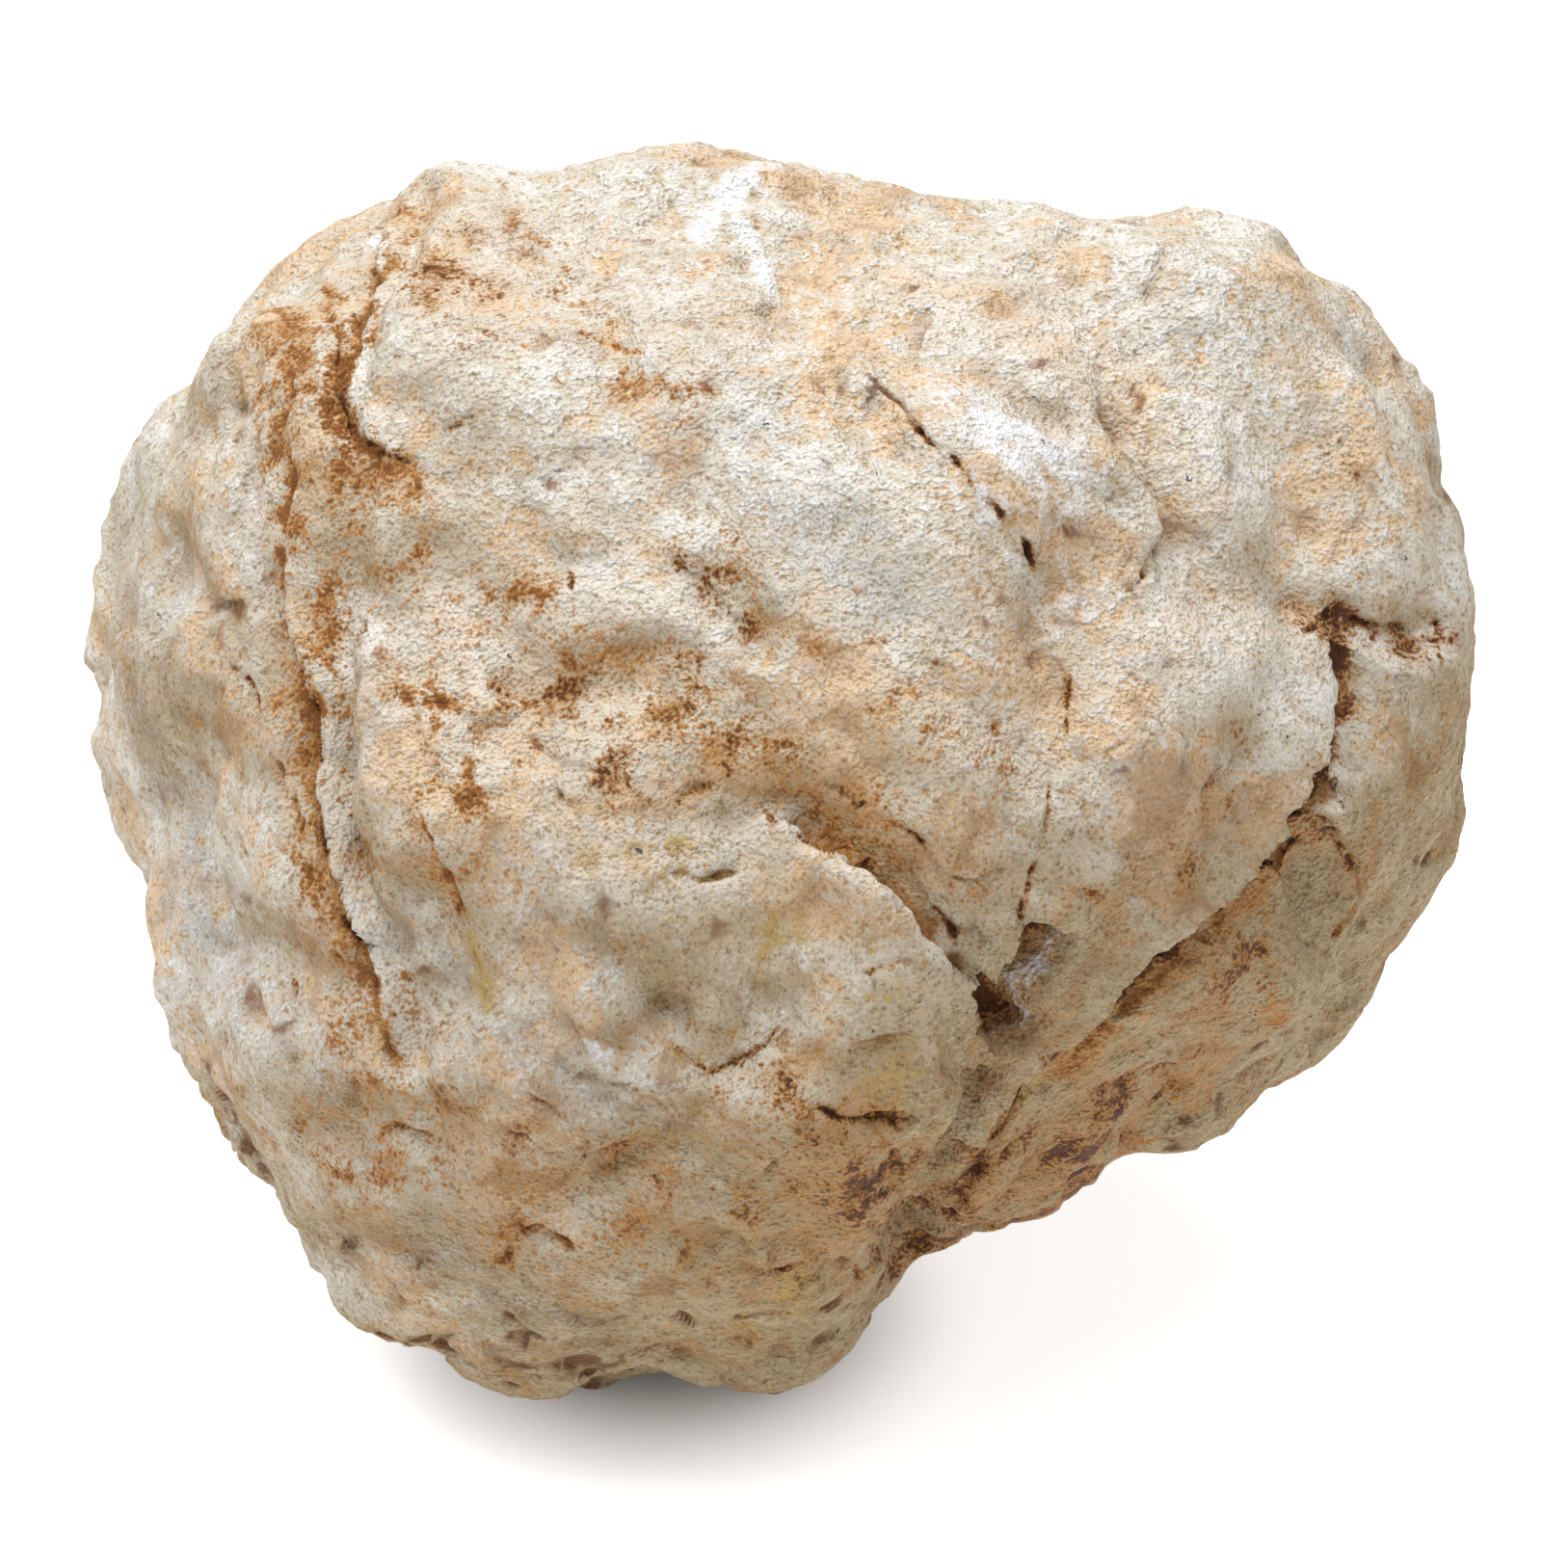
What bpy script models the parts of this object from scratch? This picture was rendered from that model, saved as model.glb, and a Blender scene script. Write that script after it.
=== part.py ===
"""An uncut calcite geode: one closed, lumpy nodule of pale calcite that rests on a small flat spot.

The nodule starts as a ball of points, and each point is moved out from the centre to its reach.
The reach comes from the widest outline and the worn facets, which make the plain form, and then
from the chips, swells, grooves, ledges and lumps that lie on it.

The form is drawn in the show frame, in millimetres from the centre: U to the right, V up and W
out of the show side. The stone stands with its show side looking up by SHOW_TILT, and the origin
of the finished part is on the floor, under the middle of the stone.
"""

import math

import bmesh
import bpy
import numpy as np
from mathutils import Matrix, Vector, noise

MM = 0.001

# --- Driving dimensions, in millimetres and degrees -------------------------------------------
SHOW_TILT = 32.0  # how far the show side looks up from the horizon
CENTRE = (0.4, 0.1, 32.6)  # where the centre stands: from the middle of the stone, and its height
EYE_DISTANCE = 420.0  # features are placed along lines of sight from here
FRONT_REACH = 34.0  # centre to the foremost point of the show side, before the facets
BACK_REACH = 33.0  # centre to the back
FRONT_FULLNESS = 2.5  # 2 is an ellipse, and more is a flatter front with a rounder shoulder
BACK_FULLNESS = 2.15
CUTS_PER_EDGE = 25  # of the cube that becomes the ball
PATH_STEP = 1.5  # spacing of the points along a groove or a ledge
FINE_BAND = 2.6  # the mesh is twice as fine this close to the sharpest features

# The widest outline, seen from the show side: bearing in degrees from U towards V, and reach.
OUTLINE = [
    (0, 39.1), (9, 40.3), (15, 40.6), (22, 41.0), (27, 41.3), (38, 42.6), (45, 44.4),
    (54, 43.0), (61, 37.1), (66, 37.6), (73, 34.2), (82, 35.6), (88, 36.0), (96, 37.8),
    (102, 38.6), (109, 38.0), (115, 37.9), (124, 42.4), (134, 40.1), (140, 42.1),
    (148, 42.8), (152, 43.2), (160, 42.4), (172, 40.4), (179, 40.2), (186, 37.6),
    (197, 37.8), (203, 38.2), (210, 37.8), (217, 37.3), (226, 38.5), (233, 39.2),
    (241, 39.4), (250, 37.8), (257, 34.8), (263, 36.9), (270, 36.7), (276, 33.9),
    (284, 28.4), (288, 28.7), (304, 28.4), (320, 31.2), (331, 36.3), (340, 38.0),
    (349, 37.6), (355, 38.2),
]  # fmt: skip
OUTLINE_ROUNDING = 3.0  # degrees each way over which the outline's corners are rounded

# Worn facets: bearing and tilt of the normal, and distance from the centre. A tilt of 90 looks
# straight out of the show side.
FACETS = {
    "main face": (185, 76, 31.2),
    "left face": (183, 24, 35.6),
    "right face": (28, 56, 34.6),
    "chin": (262, 46, 35.0),
    "lower left": (222, 48, 35.6),
    "top": (98, 42, 34.2),
    "underside": (318, 22, 33.4),
    "back": (350, -72, 31.8),
    "upper back": (110, -40, 34.0),
    "lower back": (250, -38, 35.4),
    "right back": (20, -30, 36.0),
}
FACET_CRISPNESS = 26.0  # the larger, the sharper the edges between facets

SHOW, BACK = 1.0, -1.0  # the side from which a feature's places are seen

# Grooves: side, depth, half width, and the path.
GROOVES = {
    "rust band": (SHOW, 1.3, 1.6, [
        (-21.8, 34.9), (-24.1, 28.8), (-26.2, 23.2), (-27.1, 18.7), (-28.2, 14.2), (-28.9, 9.2),
        (-27.6, 4.1), (-26.9, -0.9), (-26.2, -5.7), (-24.3, -9.3), (-23.3, -13.0), (-22.5, -16.1)]),
    "overhang": (SHOW, 3.0, 2.2, [
        (30.9, 1.3), (29.9, -1.9), (27.2, -5.1), (24.7, -7.5), (21.6, -9.9), (19.7, -13.0),
        (16.6, -15.2), (13.5, -17.4), (11.3, -21.1), (9.6, -25.0), (7.4, -28.5)]),
    "rear lobe seam": (SHOW, 1.3, 2.4, [
        (18.1, 32.6), (22.5, 28.2), (27.2, 23.2), (29.8, 17.0), (31.2, 10.8), (31.7, 5.2),
        (30.9, 1.3)]),
    "brown crack": (SHOW, 1.4, 1.3, [
        (30.4, 8.9), (32.6, 10.8), (35.1, 9.3), (36.8, 8.4), (38.3, 9.2)]),
    "hook": (SHOW, 1.5, 1.3, [(30.2, -2.2), (32.2, -3.6), (33.6, -6.6), (32.8, -9.1)]),
    "left lobe seam": (SHOW, 1.0, 1.5, [
        (-33.5, 24.3), (-35.5, 20.4), (-36.3, 12.0), (-36.0, 3.6), (-34.9, -3.2), (-32.7, -10.4)]),
    "upper left lobe": (SHOW, 0.7, 1.5, [
        (-25.1, 23.5), (-25.2, 21.6), (-23.7, 19.5), (-21.6, 18.7)]),
    "shaded crack": (SHOW, 0.8, 1.4, [(-6.9, 13.3), (-4.5, 12.1), (-1.9, 9.2)]),
    "lower fold": (SHOW, 1.0, 1.8, [
        (-7.0, -14.1), (-5.6, -16.3), (-4.0, -17.0), (-2.4, -15.9), (-0.1, -13.6)]),
    "rust crack": (SHOW, 0.7, 1.4, [(16.9, -6.1), (19.8, -7.7), (21.5, -7.9)]),
    "swirl": (SHOW, 0.9, 1.4, [(6.4, -21.8), (7.0, -24.1), (6.0, -27.0)]),
    "left fold": (SHOW, 0.9, 1.6, [(-25.5, -19.9), (-21.5, -19.7), (-20.0, -21.0)]),
    "back crease": (BACK, 2.0, 2.6, [
        (-31.0, 15.0), (-20.0, 11.0), (-9.0, 13.0), (2.0, 8.0), (11.0, -2.0), (20.0, -5.0),
        (31.0, -3.0)]),
    "lower back seam": (BACK, 1.4, 2.0, [
        (11.0, -2.0), (8.0, -11.0), (11.0, -20.0), (8.0, -28.0)]),
    "left back seam": (BACK, 1.5, 2.0, [(-20.0, 11.0), (-24.0, 0.0), (-21.0, -12.0), (-27.0, -22.0)]),
    "upper back seam": (BACK, 1.1, 1.8, [
        (-7.0, 34.0), (-4.0, 26.0), (3.0, 20.0), (12.0, 18.0), (19.0, 23.0)]),
}  # fmt: skip

# Ledges: side, rise, how far the rise reaches back, and the path with its high side on the left.
LEDGES = {
    "rust flake": (SHOW, 1.3, 4.0, [
        (-27.9, 6.0), (-26.6, 3.0), (-26.6, -1.0), (-25.8, -5.5), (-24.0, -8.7)]),
    "diagonal": (SHOW, 1.2, 5.0, [
        (11.2, -10.8), (9.0, -10.1), (7.0, -7.1), (4.7, -5.1), (1.1, -3.2), (-2.0, -0.5)]),
    "right bite": (SHOW, 0.9, 4.0, [
        (20.9, 12.2), (21.6, 15.0), (20.9, 17.3), (19.1, 19.7), (18.6, 22.0)]),
    "long crack": (SHOW, 0.7, 6.0, [
        (3.2, 25.2), (7.8, 20.9), (10.9, 17.1), (13.3, 14.3), (14.7, 12.0), (16.5, 6.0),
        (15.8, 2.0), (15.3, -2.5), (14.4, -5.0), (13.6, -8.8)]),
    "bruise": (SHOW, 0.9, 3.5, [(-0.7, 27.7), (-1.6, 29.8), (-3.5, 32.5)]),
    "back flake": (BACK, 1.3, 5.0, [(-13.0, -3.0), (-7.0, -8.0), (-2.0, -15.0), (-4.0, -21.0)]),
    "right back flake": (BACK, 1.2, 4.5, [(24.0, 18.0), (27.0, 11.0), (24.0, 4.0)]),
    "top back flake": (BACK, 1.0, 4.0, [(6.0, 27.0), (-2.0, 22.0), (-12.0, 24.0)]),
}  # fmt: skip

# Swells, and hollows where the height is below zero: side, height, radius and place.
SWELLS = [
    (SHOW, 0.9, 4.0, (-20.9, 23.2)),
    (SHOW, 0.8, 4.5, (-18.0, -2.0)),
    (SHOW, 0.8, 5.0, (-10.0, -8.0)),
    (SHOW, 1.0, 4.0, (-1.0, -21.0)),
    (SHOW, 1.0, 3.4, (9.4, -17.6)),
    (SHOW, 0.8, 4.0, (-16.5, -25.0)),
    (SHOW, 0.9, 4.5, (22.0, -1.0)),
    (SHOW, 0.7, 5.0, (10.0, 0.5)),
    (SHOW, -0.9, 2.2, (-9.2, -21.6)),
    (SHOW, -0.7, 3.0, (-9.5, -17.6)),
    (SHOW, -0.6, 2.5, (-15.5, 1.5)),
    (SHOW, 0.9, 5.0, (34.5, 3.5)),
    (SHOW, 0.9, 5.0, (27.0, -13.5)),
    (SHOW, -0.8, 3.0, (24.0, -17.0)),
    (BACK, 1.5, 8.0, (-8.0, 22.0)),
    (BACK, 1.4, 7.0, (21.0, 9.0)),
    (BACK, -1.3, 5.0, (-15.0, 3.0)),
    (BACK, 1.5, 7.0, (-15.0, -19.0)),
    (BACK, 1.1, 6.0, (1.0, -4.0)),
    (BACK, -1.0, 4.0, (19.0, -15.0)),
]

# The gap in the rind that shows the calcite inside: centre, depth, and half its width and length.
POCKET_CENTRE = (12.4, -12.2)
POCKET_DEPTH = 3.4
POCKET_HALF_WIDTH = 1.7
POCKET_HALF_LENGTH = 2.9
POCKET_LEAN = 0.4  # how far its top leans over to the right for each step up

# Weathering all round the stone.
LUMPS = [(12.0, 1.1), (6.5, 0.55)]  # size and height
CHIP_COUNT = 70
CHIP_SEED = 11
CHIP_DEPTHS = (0.3, 1.1)
CHIP_EDGE = 0.7  # how softly a chip's edge is worn

FINE_FEATURES = ["rust band", "overhang", "brown crack", "rust flake", "diagonal", "lower fold"]


def softened(value, low, high):
    """0 below low, 1 above high, and a smooth rise between them."""
    t = np.clip((value - low) / (high - low), 0.0, 1.0)
    return t * t * (3.0 - 2.0 * t)


def bump(distance, half_width):
    return np.exp(-((distance / half_width) ** 2))


def unit(rows):
    return rows / np.linalg.norm(rows, axis=-1, keepdims=True)


def direction(bearing, tilt):
    b, t = math.radians(bearing), math.radians(tilt)
    return np.array([math.cos(b) * math.cos(t), math.sin(b) * math.cos(t), math.sin(t)])


# --- The plain form -------------------------------------------------------------------------------
def outline_reach(d):
    bearing = np.degrees(np.arctan2(d[:, 1], d[:, 0]))
    bearings, reaches = np.array(OUTLINE, float).T
    steps = np.linspace(-OUTLINE_ROUNDING, OUTLINE_ROUNDING, 5)
    return np.mean([np.interp(bearing + s, bearings, reaches, period=360) for s in steps], axis=0)


def faceted_reach(d):
    across = np.hypot(d[:, 0], d[:, 1])
    out = d[:, 2]
    fullness = np.where(out > 0, FRONT_FULLNESS, BACK_FULLNESS)
    depth = np.where(out > 0, FRONT_REACH, BACK_REACH)
    round_form = (across / outline_reach(d)) ** fullness + (np.abs(out) / depth) ** fullness
    closeness = round_form ** (FACET_CRISPNESS / fullness)
    for bearing, tilt, distance in FACETS.values():
        facing = np.maximum(d @ direction(bearing, tilt), 0.0)
        closeness += (facing / distance) ** FACET_CRISPNESS
    return closeness ** (-1.0 / FACET_CRISPNESS)


def rim_nearness(d):
    return (1.0 - d[:, 2] ** 2) ** 3


def plain_reach(d):
    """The facets are let out towards the rim, so that the widest outline stays as drawn."""
    rim = unit(d * (1, 1, 0) + (1e-9, 0, 0))
    let_out = outline_reach(d) / faceted_reach(rim) - 1.0
    return faceted_reach(d) * (1.0 + let_out * rim_nearness(d))


def on_plain_form(d):
    return d * plain_reach(d)[:, None]


# --- Placing features on the plain form ------------------------------------------------------------
def lift(side, places):
    """The points that are seen at these (u, v) places of the plane W = 0 from the given side."""
    eye = np.array([0.0, 0.0, side * EYE_DISTANCE])
    sight = unit(np.array([(u, v, 0.0) for u, v in places]) - eye)
    inner = -sight @ eye
    outer = inner - 2.0 * FRONT_REACH
    for _ in range(30):
        middle = (outer + inner) / 2.0
        points = eye + sight * middle[:, None]
        outside = np.linalg.norm(points, axis=1) > plain_reach(unit(points))
        outer = np.where(outside, middle, outer)
        inner = np.where(outside, inner, middle)
    return on_plain_form(unit(eye + sight * inner[:, None]))


def path_points(side, corners):
    corners = np.array(corners)
    lengths = np.linalg.norm(np.diff(corners, axis=0), axis=1)
    along = np.concatenate([[0.0], np.cumsum(lengths)])
    steps = np.linspace(0.0, along[-1], int(along[-1] / PATH_STEP) + 2)
    places = np.column_stack([np.interp(steps, along, corners[:, axis]) for axis in (0, 1)])
    return lift(side, places)


def measure_path(points, path):
    """Each point's distance from the path, its side (1 is left), and the run to the path's end."""
    starts, runs = path[:-1], np.diff(path, axis=0)
    offsets = points[:, None] - starts
    share = np.einsum("psk,sk->ps", offsets, runs) / np.einsum("sk,sk->s", runs, runs)
    share = np.clip(share, 0.0, 1.0)
    gaps = offsets - share[..., None] * runs
    distances = np.linalg.norm(gaps, axis=2)
    rows, nearest = np.arange(len(points)), np.argmin(distances, axis=1)
    left = np.cross(starts[nearest], runs[nearest])
    side = np.where(np.einsum("pk,pk->p", gaps[rows, nearest], left) >= 0.0, 1.0, -1.0)
    lengths = np.linalg.norm(runs, axis=1)
    before = np.concatenate([[0.0], np.cumsum(lengths)])
    run = before[nearest] + share[rows, nearest] * lengths[nearest]
    return distances[rows, nearest], side, np.minimum(run, before[-1] - run)


# --- The features ------------------------------------------------------------------------------------
def grooves(points):
    cut = np.zeros(len(points))
    for side, depth, half_width, corners in GROOVES.values():
        distance, _, _ = measure_path(points, path_points(side, corners))
        cut = np.maximum(cut, depth * bump(distance, half_width))
    return -cut


def ledges(points):
    total = np.zeros(len(points))
    for side, rise, reach_back, corners in LEDGES.values():
        distance, left, run_to_end = measure_path(points, path_points(side, corners))
        fade = bump(distance, reach_back) * softened(run_to_end, 0.0, 0.6 * reach_back)
        share = np.where(left > 0, 0.6, -0.4) * softened(distance, -0.2, 0.8)
        total += rise * share * fade
    return total


def swells(points):
    total = np.zeros(len(points))
    for side, height, radius, place in SWELLS:
        distance = np.linalg.norm(points - lift(side, [place]), axis=1)
        total += height * bump(distance, radius)
    return total


def pocket(points):
    u, v = POCKET_CENTRE
    centre, above, beside = lift(SHOW, [(u, v), (u + POCKET_LEAN, v + 1), (u + 1, v - POCKET_LEAN)])
    across = (points - centre) @ unit(beside - centre) / POCKET_HALF_WIDTH
    along = (points - centre) @ unit(above - centre) / POCKET_HALF_LENGTH
    near = (points @ centre) > 0.0
    return np.where(near, -POCKET_DEPTH * softened(1.4 - np.hypot(across, along), 0.0, 0.8), 0.0)


def lumps(points):
    total = np.zeros(len(points))
    for size, height in LUMPS:
        for i, point in enumerate(points):
            total[i] += height * (2.6 * abs(noise.noise(Vector(point) / size)) - 0.6)
    return total


def chips(d):
    """Shallow flats struck off all round the stone."""
    rng = np.random.default_rng(CHIP_SEED)
    normals = unit(rng.normal(size=(CHIP_COUNT, 3)))
    whole = plain_reach(d)
    struck = whole
    for normal, depth in zip(normals, rng.uniform(*CHIP_DEPTHS, CHIP_COUNT)):
        flat = (plain_reach(normal[None])[0] - depth) / np.maximum(d @ normal, 0.2)
        over = np.clip((struck - flat) / CHIP_EDGE, -30.0, 30.0)
        struck = struck - CHIP_EDGE * np.log1p(np.exp(over))
    return (struck - whole) * (1.0 - 0.7 * rim_nearness(d))


def reach(d):
    plain = on_plain_form(d)
    weathered = plain_reach(d) + chips(d) + swells(plain) + grooves(plain) + ledges(plain)
    weathered += lumps(plain) + pocket(plain)
    down = -(stand_up(d)[:, 2])
    floor = CENTRE[2] / np.maximum(down, 1e-6)
    return np.where(down > 0.1, np.minimum(weathered, floor), weathered)


# --- The mesh ----------------------------------------------------------------------------------------
def stand_up(points):
    turn = Matrix.Rotation(math.radians(90.0 - SHOW_TILT), 3, "X")
    return points @ np.array(turn).T


def ball():
    bm = bmesh.new()
    bmesh.ops.create_cube(bm, size=2.0)
    bmesh.ops.subdivide_edges(bm, edges=bm.edges[:], cuts=CUTS_PER_EDGE, use_grid_fill=True)
    for vert in bm.verts:
        vert.co = [math.tan(c * math.pi / 4.0) for c in vert.co]
    return bm


def refine(bm):
    """Twice as many edges along the sharpest features and round the pocket."""
    paths = {**GROOVES, **LEDGES}
    fine = [path_points(paths[name][0], paths[name][3]) for name in FINE_FEATURES]
    middles = unit(np.array([(e.verts[0].co + e.verts[1].co) / 2.0 for e in bm.edges]))
    points = on_plain_form(middles)
    distance = np.min([measure_path(points, path)[0] for path in fine], axis=0)
    to_pocket = np.linalg.norm(points - lift(SHOW, [POCKET_CENTRE]), axis=1)
    near = (distance < FINE_BAND) | (to_pocket < POCKET_HALF_LENGTH + FINE_BAND)
    edges = [edge for edge, chosen in zip(bm.edges[:], near) if chosen]
    bmesh.ops.subdivide_edges(bm, edges=edges, cuts=1, use_grid_fill=True)


def geode():
    bm = ball()
    refine(bm)
    bmesh.ops.triangulate(bm, faces=bm.faces[:])
    d = unit(np.array([vert.co for vert in bm.verts]))
    points = stand_up(d * reach(d)[:, None]) + CENTRE
    for vert, point in zip(bm.verts, points):
        vert.co = Vector(point) * MM
    mesh = bpy.data.meshes.new("geode")
    bm.to_mesh(mesh)
    bm.free()
    mesh.shade_smooth()
    stone = bpy.data.objects.new("geode", mesh)
    stone.data.materials.append(calcite())
    bpy.context.scene.collection.objects.link(stone)


def calcite():
    material = bpy.data.materials.new("weathered_calcite")
    material.use_nodes = True
    shader = material.node_tree.nodes["Principled BSDF"]
    shader.inputs["Base Color"].default_value = (0.60, 0.53, 0.44, 1.0)
    shader.inputs["Roughness"].default_value = 0.85
    shader.inputs["Metallic"].default_value = 0.0
    return material


def main():
    for thing in list(bpy.data.objects):
        bpy.data.objects.remove(thing)
    geode()


main()
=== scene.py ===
"""The looks of an uncut calcite geode: its weathered rind, seams, cracks, stains and small pocket.

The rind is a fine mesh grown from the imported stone: it is curved smoothly between the stone's own
points, made finest where the surface breaks, and then pushed in and out along its normals. What
shows on the stone's broad side is placed by its pixels in the reference frame.

Lengths in the rind's own code are in millimetres.
"""

import math

import bpy
import numpy as np
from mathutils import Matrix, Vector, noise
from mathutils.bvhtree import BVHTree


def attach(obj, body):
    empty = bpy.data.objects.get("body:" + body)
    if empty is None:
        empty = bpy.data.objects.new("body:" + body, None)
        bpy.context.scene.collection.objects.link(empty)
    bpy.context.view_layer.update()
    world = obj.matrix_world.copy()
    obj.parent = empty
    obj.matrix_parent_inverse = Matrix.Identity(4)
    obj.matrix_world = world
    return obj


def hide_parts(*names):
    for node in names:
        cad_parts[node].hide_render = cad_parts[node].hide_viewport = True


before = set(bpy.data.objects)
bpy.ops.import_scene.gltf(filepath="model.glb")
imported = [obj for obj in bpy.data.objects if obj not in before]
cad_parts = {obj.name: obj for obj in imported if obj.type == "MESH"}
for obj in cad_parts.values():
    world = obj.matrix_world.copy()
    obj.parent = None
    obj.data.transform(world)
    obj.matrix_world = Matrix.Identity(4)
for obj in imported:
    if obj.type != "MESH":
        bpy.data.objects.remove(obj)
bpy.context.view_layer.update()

# The noise that pushes points about starts from this, and else from the clock.
NOISE_SEED = 1795473341
noise.seed_set(NOISE_SEED)

# --- Where the stone is seen from ---
MM = 0.001
FRAME_PIXELS = 1627
PIXEL = 0.056  # one pixel of the reference frame, at the stone's centre
EYE_DISTANCE = 420.0
SHOW_TILT = math.radians(32.0)
CENTRE = np.array([0.4, 0.1, 32.6])
RIGHT = np.array([1.0, 0.0, 0.0])
UP = np.array([0.0, math.sin(SHOW_TILT), math.cos(SHOW_TILT)])
OUT = np.array([0.0, -math.cos(SHOW_TILT), math.sin(SHOW_TILT)])
EYE = CENTRE + OUT * EYE_DISTANCE

# --- How fine the rind is ---
SHOW_EDGE = 0.62  # longest edge on the side that is seen
FAR_EDGE = 0.95  # longest edge on the other sides
SEAM_EDGE = 0.26  # longest edge close to a traced seam
SEAM_MARGIN = 0.35  # how far beyond a seam's half width its fine mesh reaches
LEEWAY = 1.35  # how many times the longest length an edge may have before it is split
TURNED_AWAY = -0.15  # the facing below which a place counts as one of the other sides
FINEST_EDGE = 0.17  # no edge is split into halves shorter than this
BREAK = 0.06  # an edge whose ends differ by more than this in height is split
MOST_TRIANGLES = 196000
EVEN_PASSES = 6
BREAK_PASSES = 3


def unit(rows):
    return rows / np.maximum(np.linalg.norm(rows, axis=-1, keepdims=True), 1e-12)


def softened(value, low, high):
    """0 below low, 1 above high, and a smooth rise between them."""
    t = np.clip((value - low) / (high - low), 0.0, 1.0)
    return t * t * (3.0 - 2.0 * t)


def bump(distance, half_width):
    return np.exp(-((distance / half_width) ** 2))


# --- Growing a finer mesh ---
def stone_mesh():
    """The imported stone's points and triangles, with its corners welded."""
    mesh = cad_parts["geode"].data
    mesh.calc_loop_triangles()
    points = np.array([v.co for v in mesh.vertices]) / MM
    triangles = np.array([t.vertices[:] for t in mesh.loop_triangles])
    _, first, welded = np.unique(np.round(points, 3), axis=0, return_index=True, return_inverse=True)
    triangles = welded.reshape(-1)[triangles]
    whole = (triangles != np.roll(triangles, 1, axis=1)).all(axis=1)
    return points[first], triangles[whole]


def point_normals(points, triangles):
    a, b, c = (points[triangles[:, i]] for i in range(3))
    faces = np.cross(b - a, c - a)
    normals = np.zeros_like(points)
    for i in range(3):
        np.add.at(normals, triangles[:, i], faces)
    return unit(normals)


def edge_table(triangles):
    """The mesh's edges, and the three edges of each triangle: 0-1, 1-2 and 2-0."""
    sides = np.stack([triangles, np.roll(triangles, -1, axis=1)], axis=2).reshape(-1, 2)
    edges, of_side = np.unique(np.sort(sides, axis=1), axis=0, return_inverse=True)
    return edges, of_side.reshape(-1, 3)


def curved_middles(points, normals, edges):
    """The middle of each edge, moved out to where a smooth surface would pass."""
    a, b = points[edges[:, 0]], points[edges[:, 1]]
    na, nb = normals[edges[:, 0]], normals[edges[:, 1]]
    middle = (a + b) / 2.0
    rise_a = np.einsum("ij,ij->i", a - middle, na)[:, None] * na
    rise_b = np.einsum("ij,ij->i", b - middle, nb)[:, None] * nb
    return middle + (rise_a + rise_b) / 4.0


def split_edges(points, triangles, edges, sides, chosen):
    """Splits the chosen edges, and each triangle by how many of its edges are chosen."""
    normals = point_normals(points, triangles)
    new_index = np.full(len(edges), -1)
    new_index[chosen] = len(points) + np.arange(chosen.sum())
    points = np.vstack([points, curved_middles(points, normals, edges[chosen])])
    middles = new_index[sides]
    counts = (middles >= 0).sum(axis=1)
    parts = [triangles[counts == 0]]

    for count, turned_so in ((1, (True, False, False)), (2, (True, True, False))):
        for turn in range(3):
            t = np.roll(triangles, -turn, axis=1)
            m = np.roll(middles, -turn, axis=1)
            here = ((m >= 0) == turned_so).all(axis=1)
            (a, b, c), (ab, bc, _) = t[here].T, m[here].T
            if count == 1:
                parts += [np.column_stack(x) for x in ((a, ab, c), (ab, b, c))]
            else:
                parts += [np.column_stack(x) for x in ((ab, b, bc), (a, ab, bc), (a, bc, c))]

    (a, b, c), (ab, bc, ca) = triangles[counts == 3].T, middles[counts == 3].T
    parts += [np.column_stack(x) for x in ((a, ab, ca), (ab, b, bc), (ca, bc, c), (ab, bc, ca))]
    return points, np.vstack(parts)


def by_a_seam(points):
    """Whether each point is close enough to a traced seam to need a fine mesh."""
    close = np.zeros(len(points), bool)
    wandering = wander(points)
    for path, half_width, *_ in traced_seams:
        reach = half_width + SEAM_MARGIN
        near = within(wandering, path, reach)
        distance, _, _ = measure_path(wandering[near], path)
        close[near] |= distance < reach
    return close


def grow_evenly(points, triangles):
    for _ in range(EVEN_PASSES):
        edges, sides = edge_table(triangles)
        lengths = np.linalg.norm(points[edges[:, 0]] - points[edges[:, 1]], axis=1)
        normals = point_normals(points, triangles)
        facing = np.einsum("ij,ij->i", unit(EYE - points), normals)[edges].max(axis=1)
        longest = np.where(facing > TURNED_AWAY, SHOW_EDGE, FAR_EDGE)
        longest[by_a_seam(points[edges].mean(axis=1))] = SEAM_EDGE
        chosen = lengths > LEEWAY * longest
        if not chosen.any():
            break
        points, triangles = split_edges(points, triangles, edges, sides, chosen)
    return points, triangles


def grow_at_breaks(points, triangles):
    """Splits the edges over which the rind's height changes most, while triangles are left."""
    for _ in range(BREAK_PASSES):
        edges, sides = edge_table(triangles)
        heights, _ = rind(points, point_normals(points, triangles))
        a, b = edges.T
        lengths = np.linalg.norm(points[a] - points[b], axis=1)
        change = np.abs(heights[a] - heights[b])
        change[lengths < 2.0 * FINEST_EDGE] = 0.0
        room = (MOST_TRIANGLES - len(triangles)) // 2
        order = np.argsort(-change)[: max(room, 0)]
        chosen = np.zeros(len(edges), bool)
        chosen[order] = change[order] > BREAK
        if not chosen.any():
            break
        points, triangles = split_edges(points, triangles, edges, sides, chosen)
    return points, triangles


# --- Places on the stone, by their pixels in the reference frame ---
PATH_STEP = 10.0  # pixels between the points of a path


def line_of_sight(pixel):
    across = (pixel[0] - FRAME_PIXELS / 2.0) * PIXEL
    above = (FRAME_PIXELS / 2.0 - pixel[1]) * PIXEL
    return unit(CENTRE + RIGHT * across + UP * above - EYE)


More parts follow.
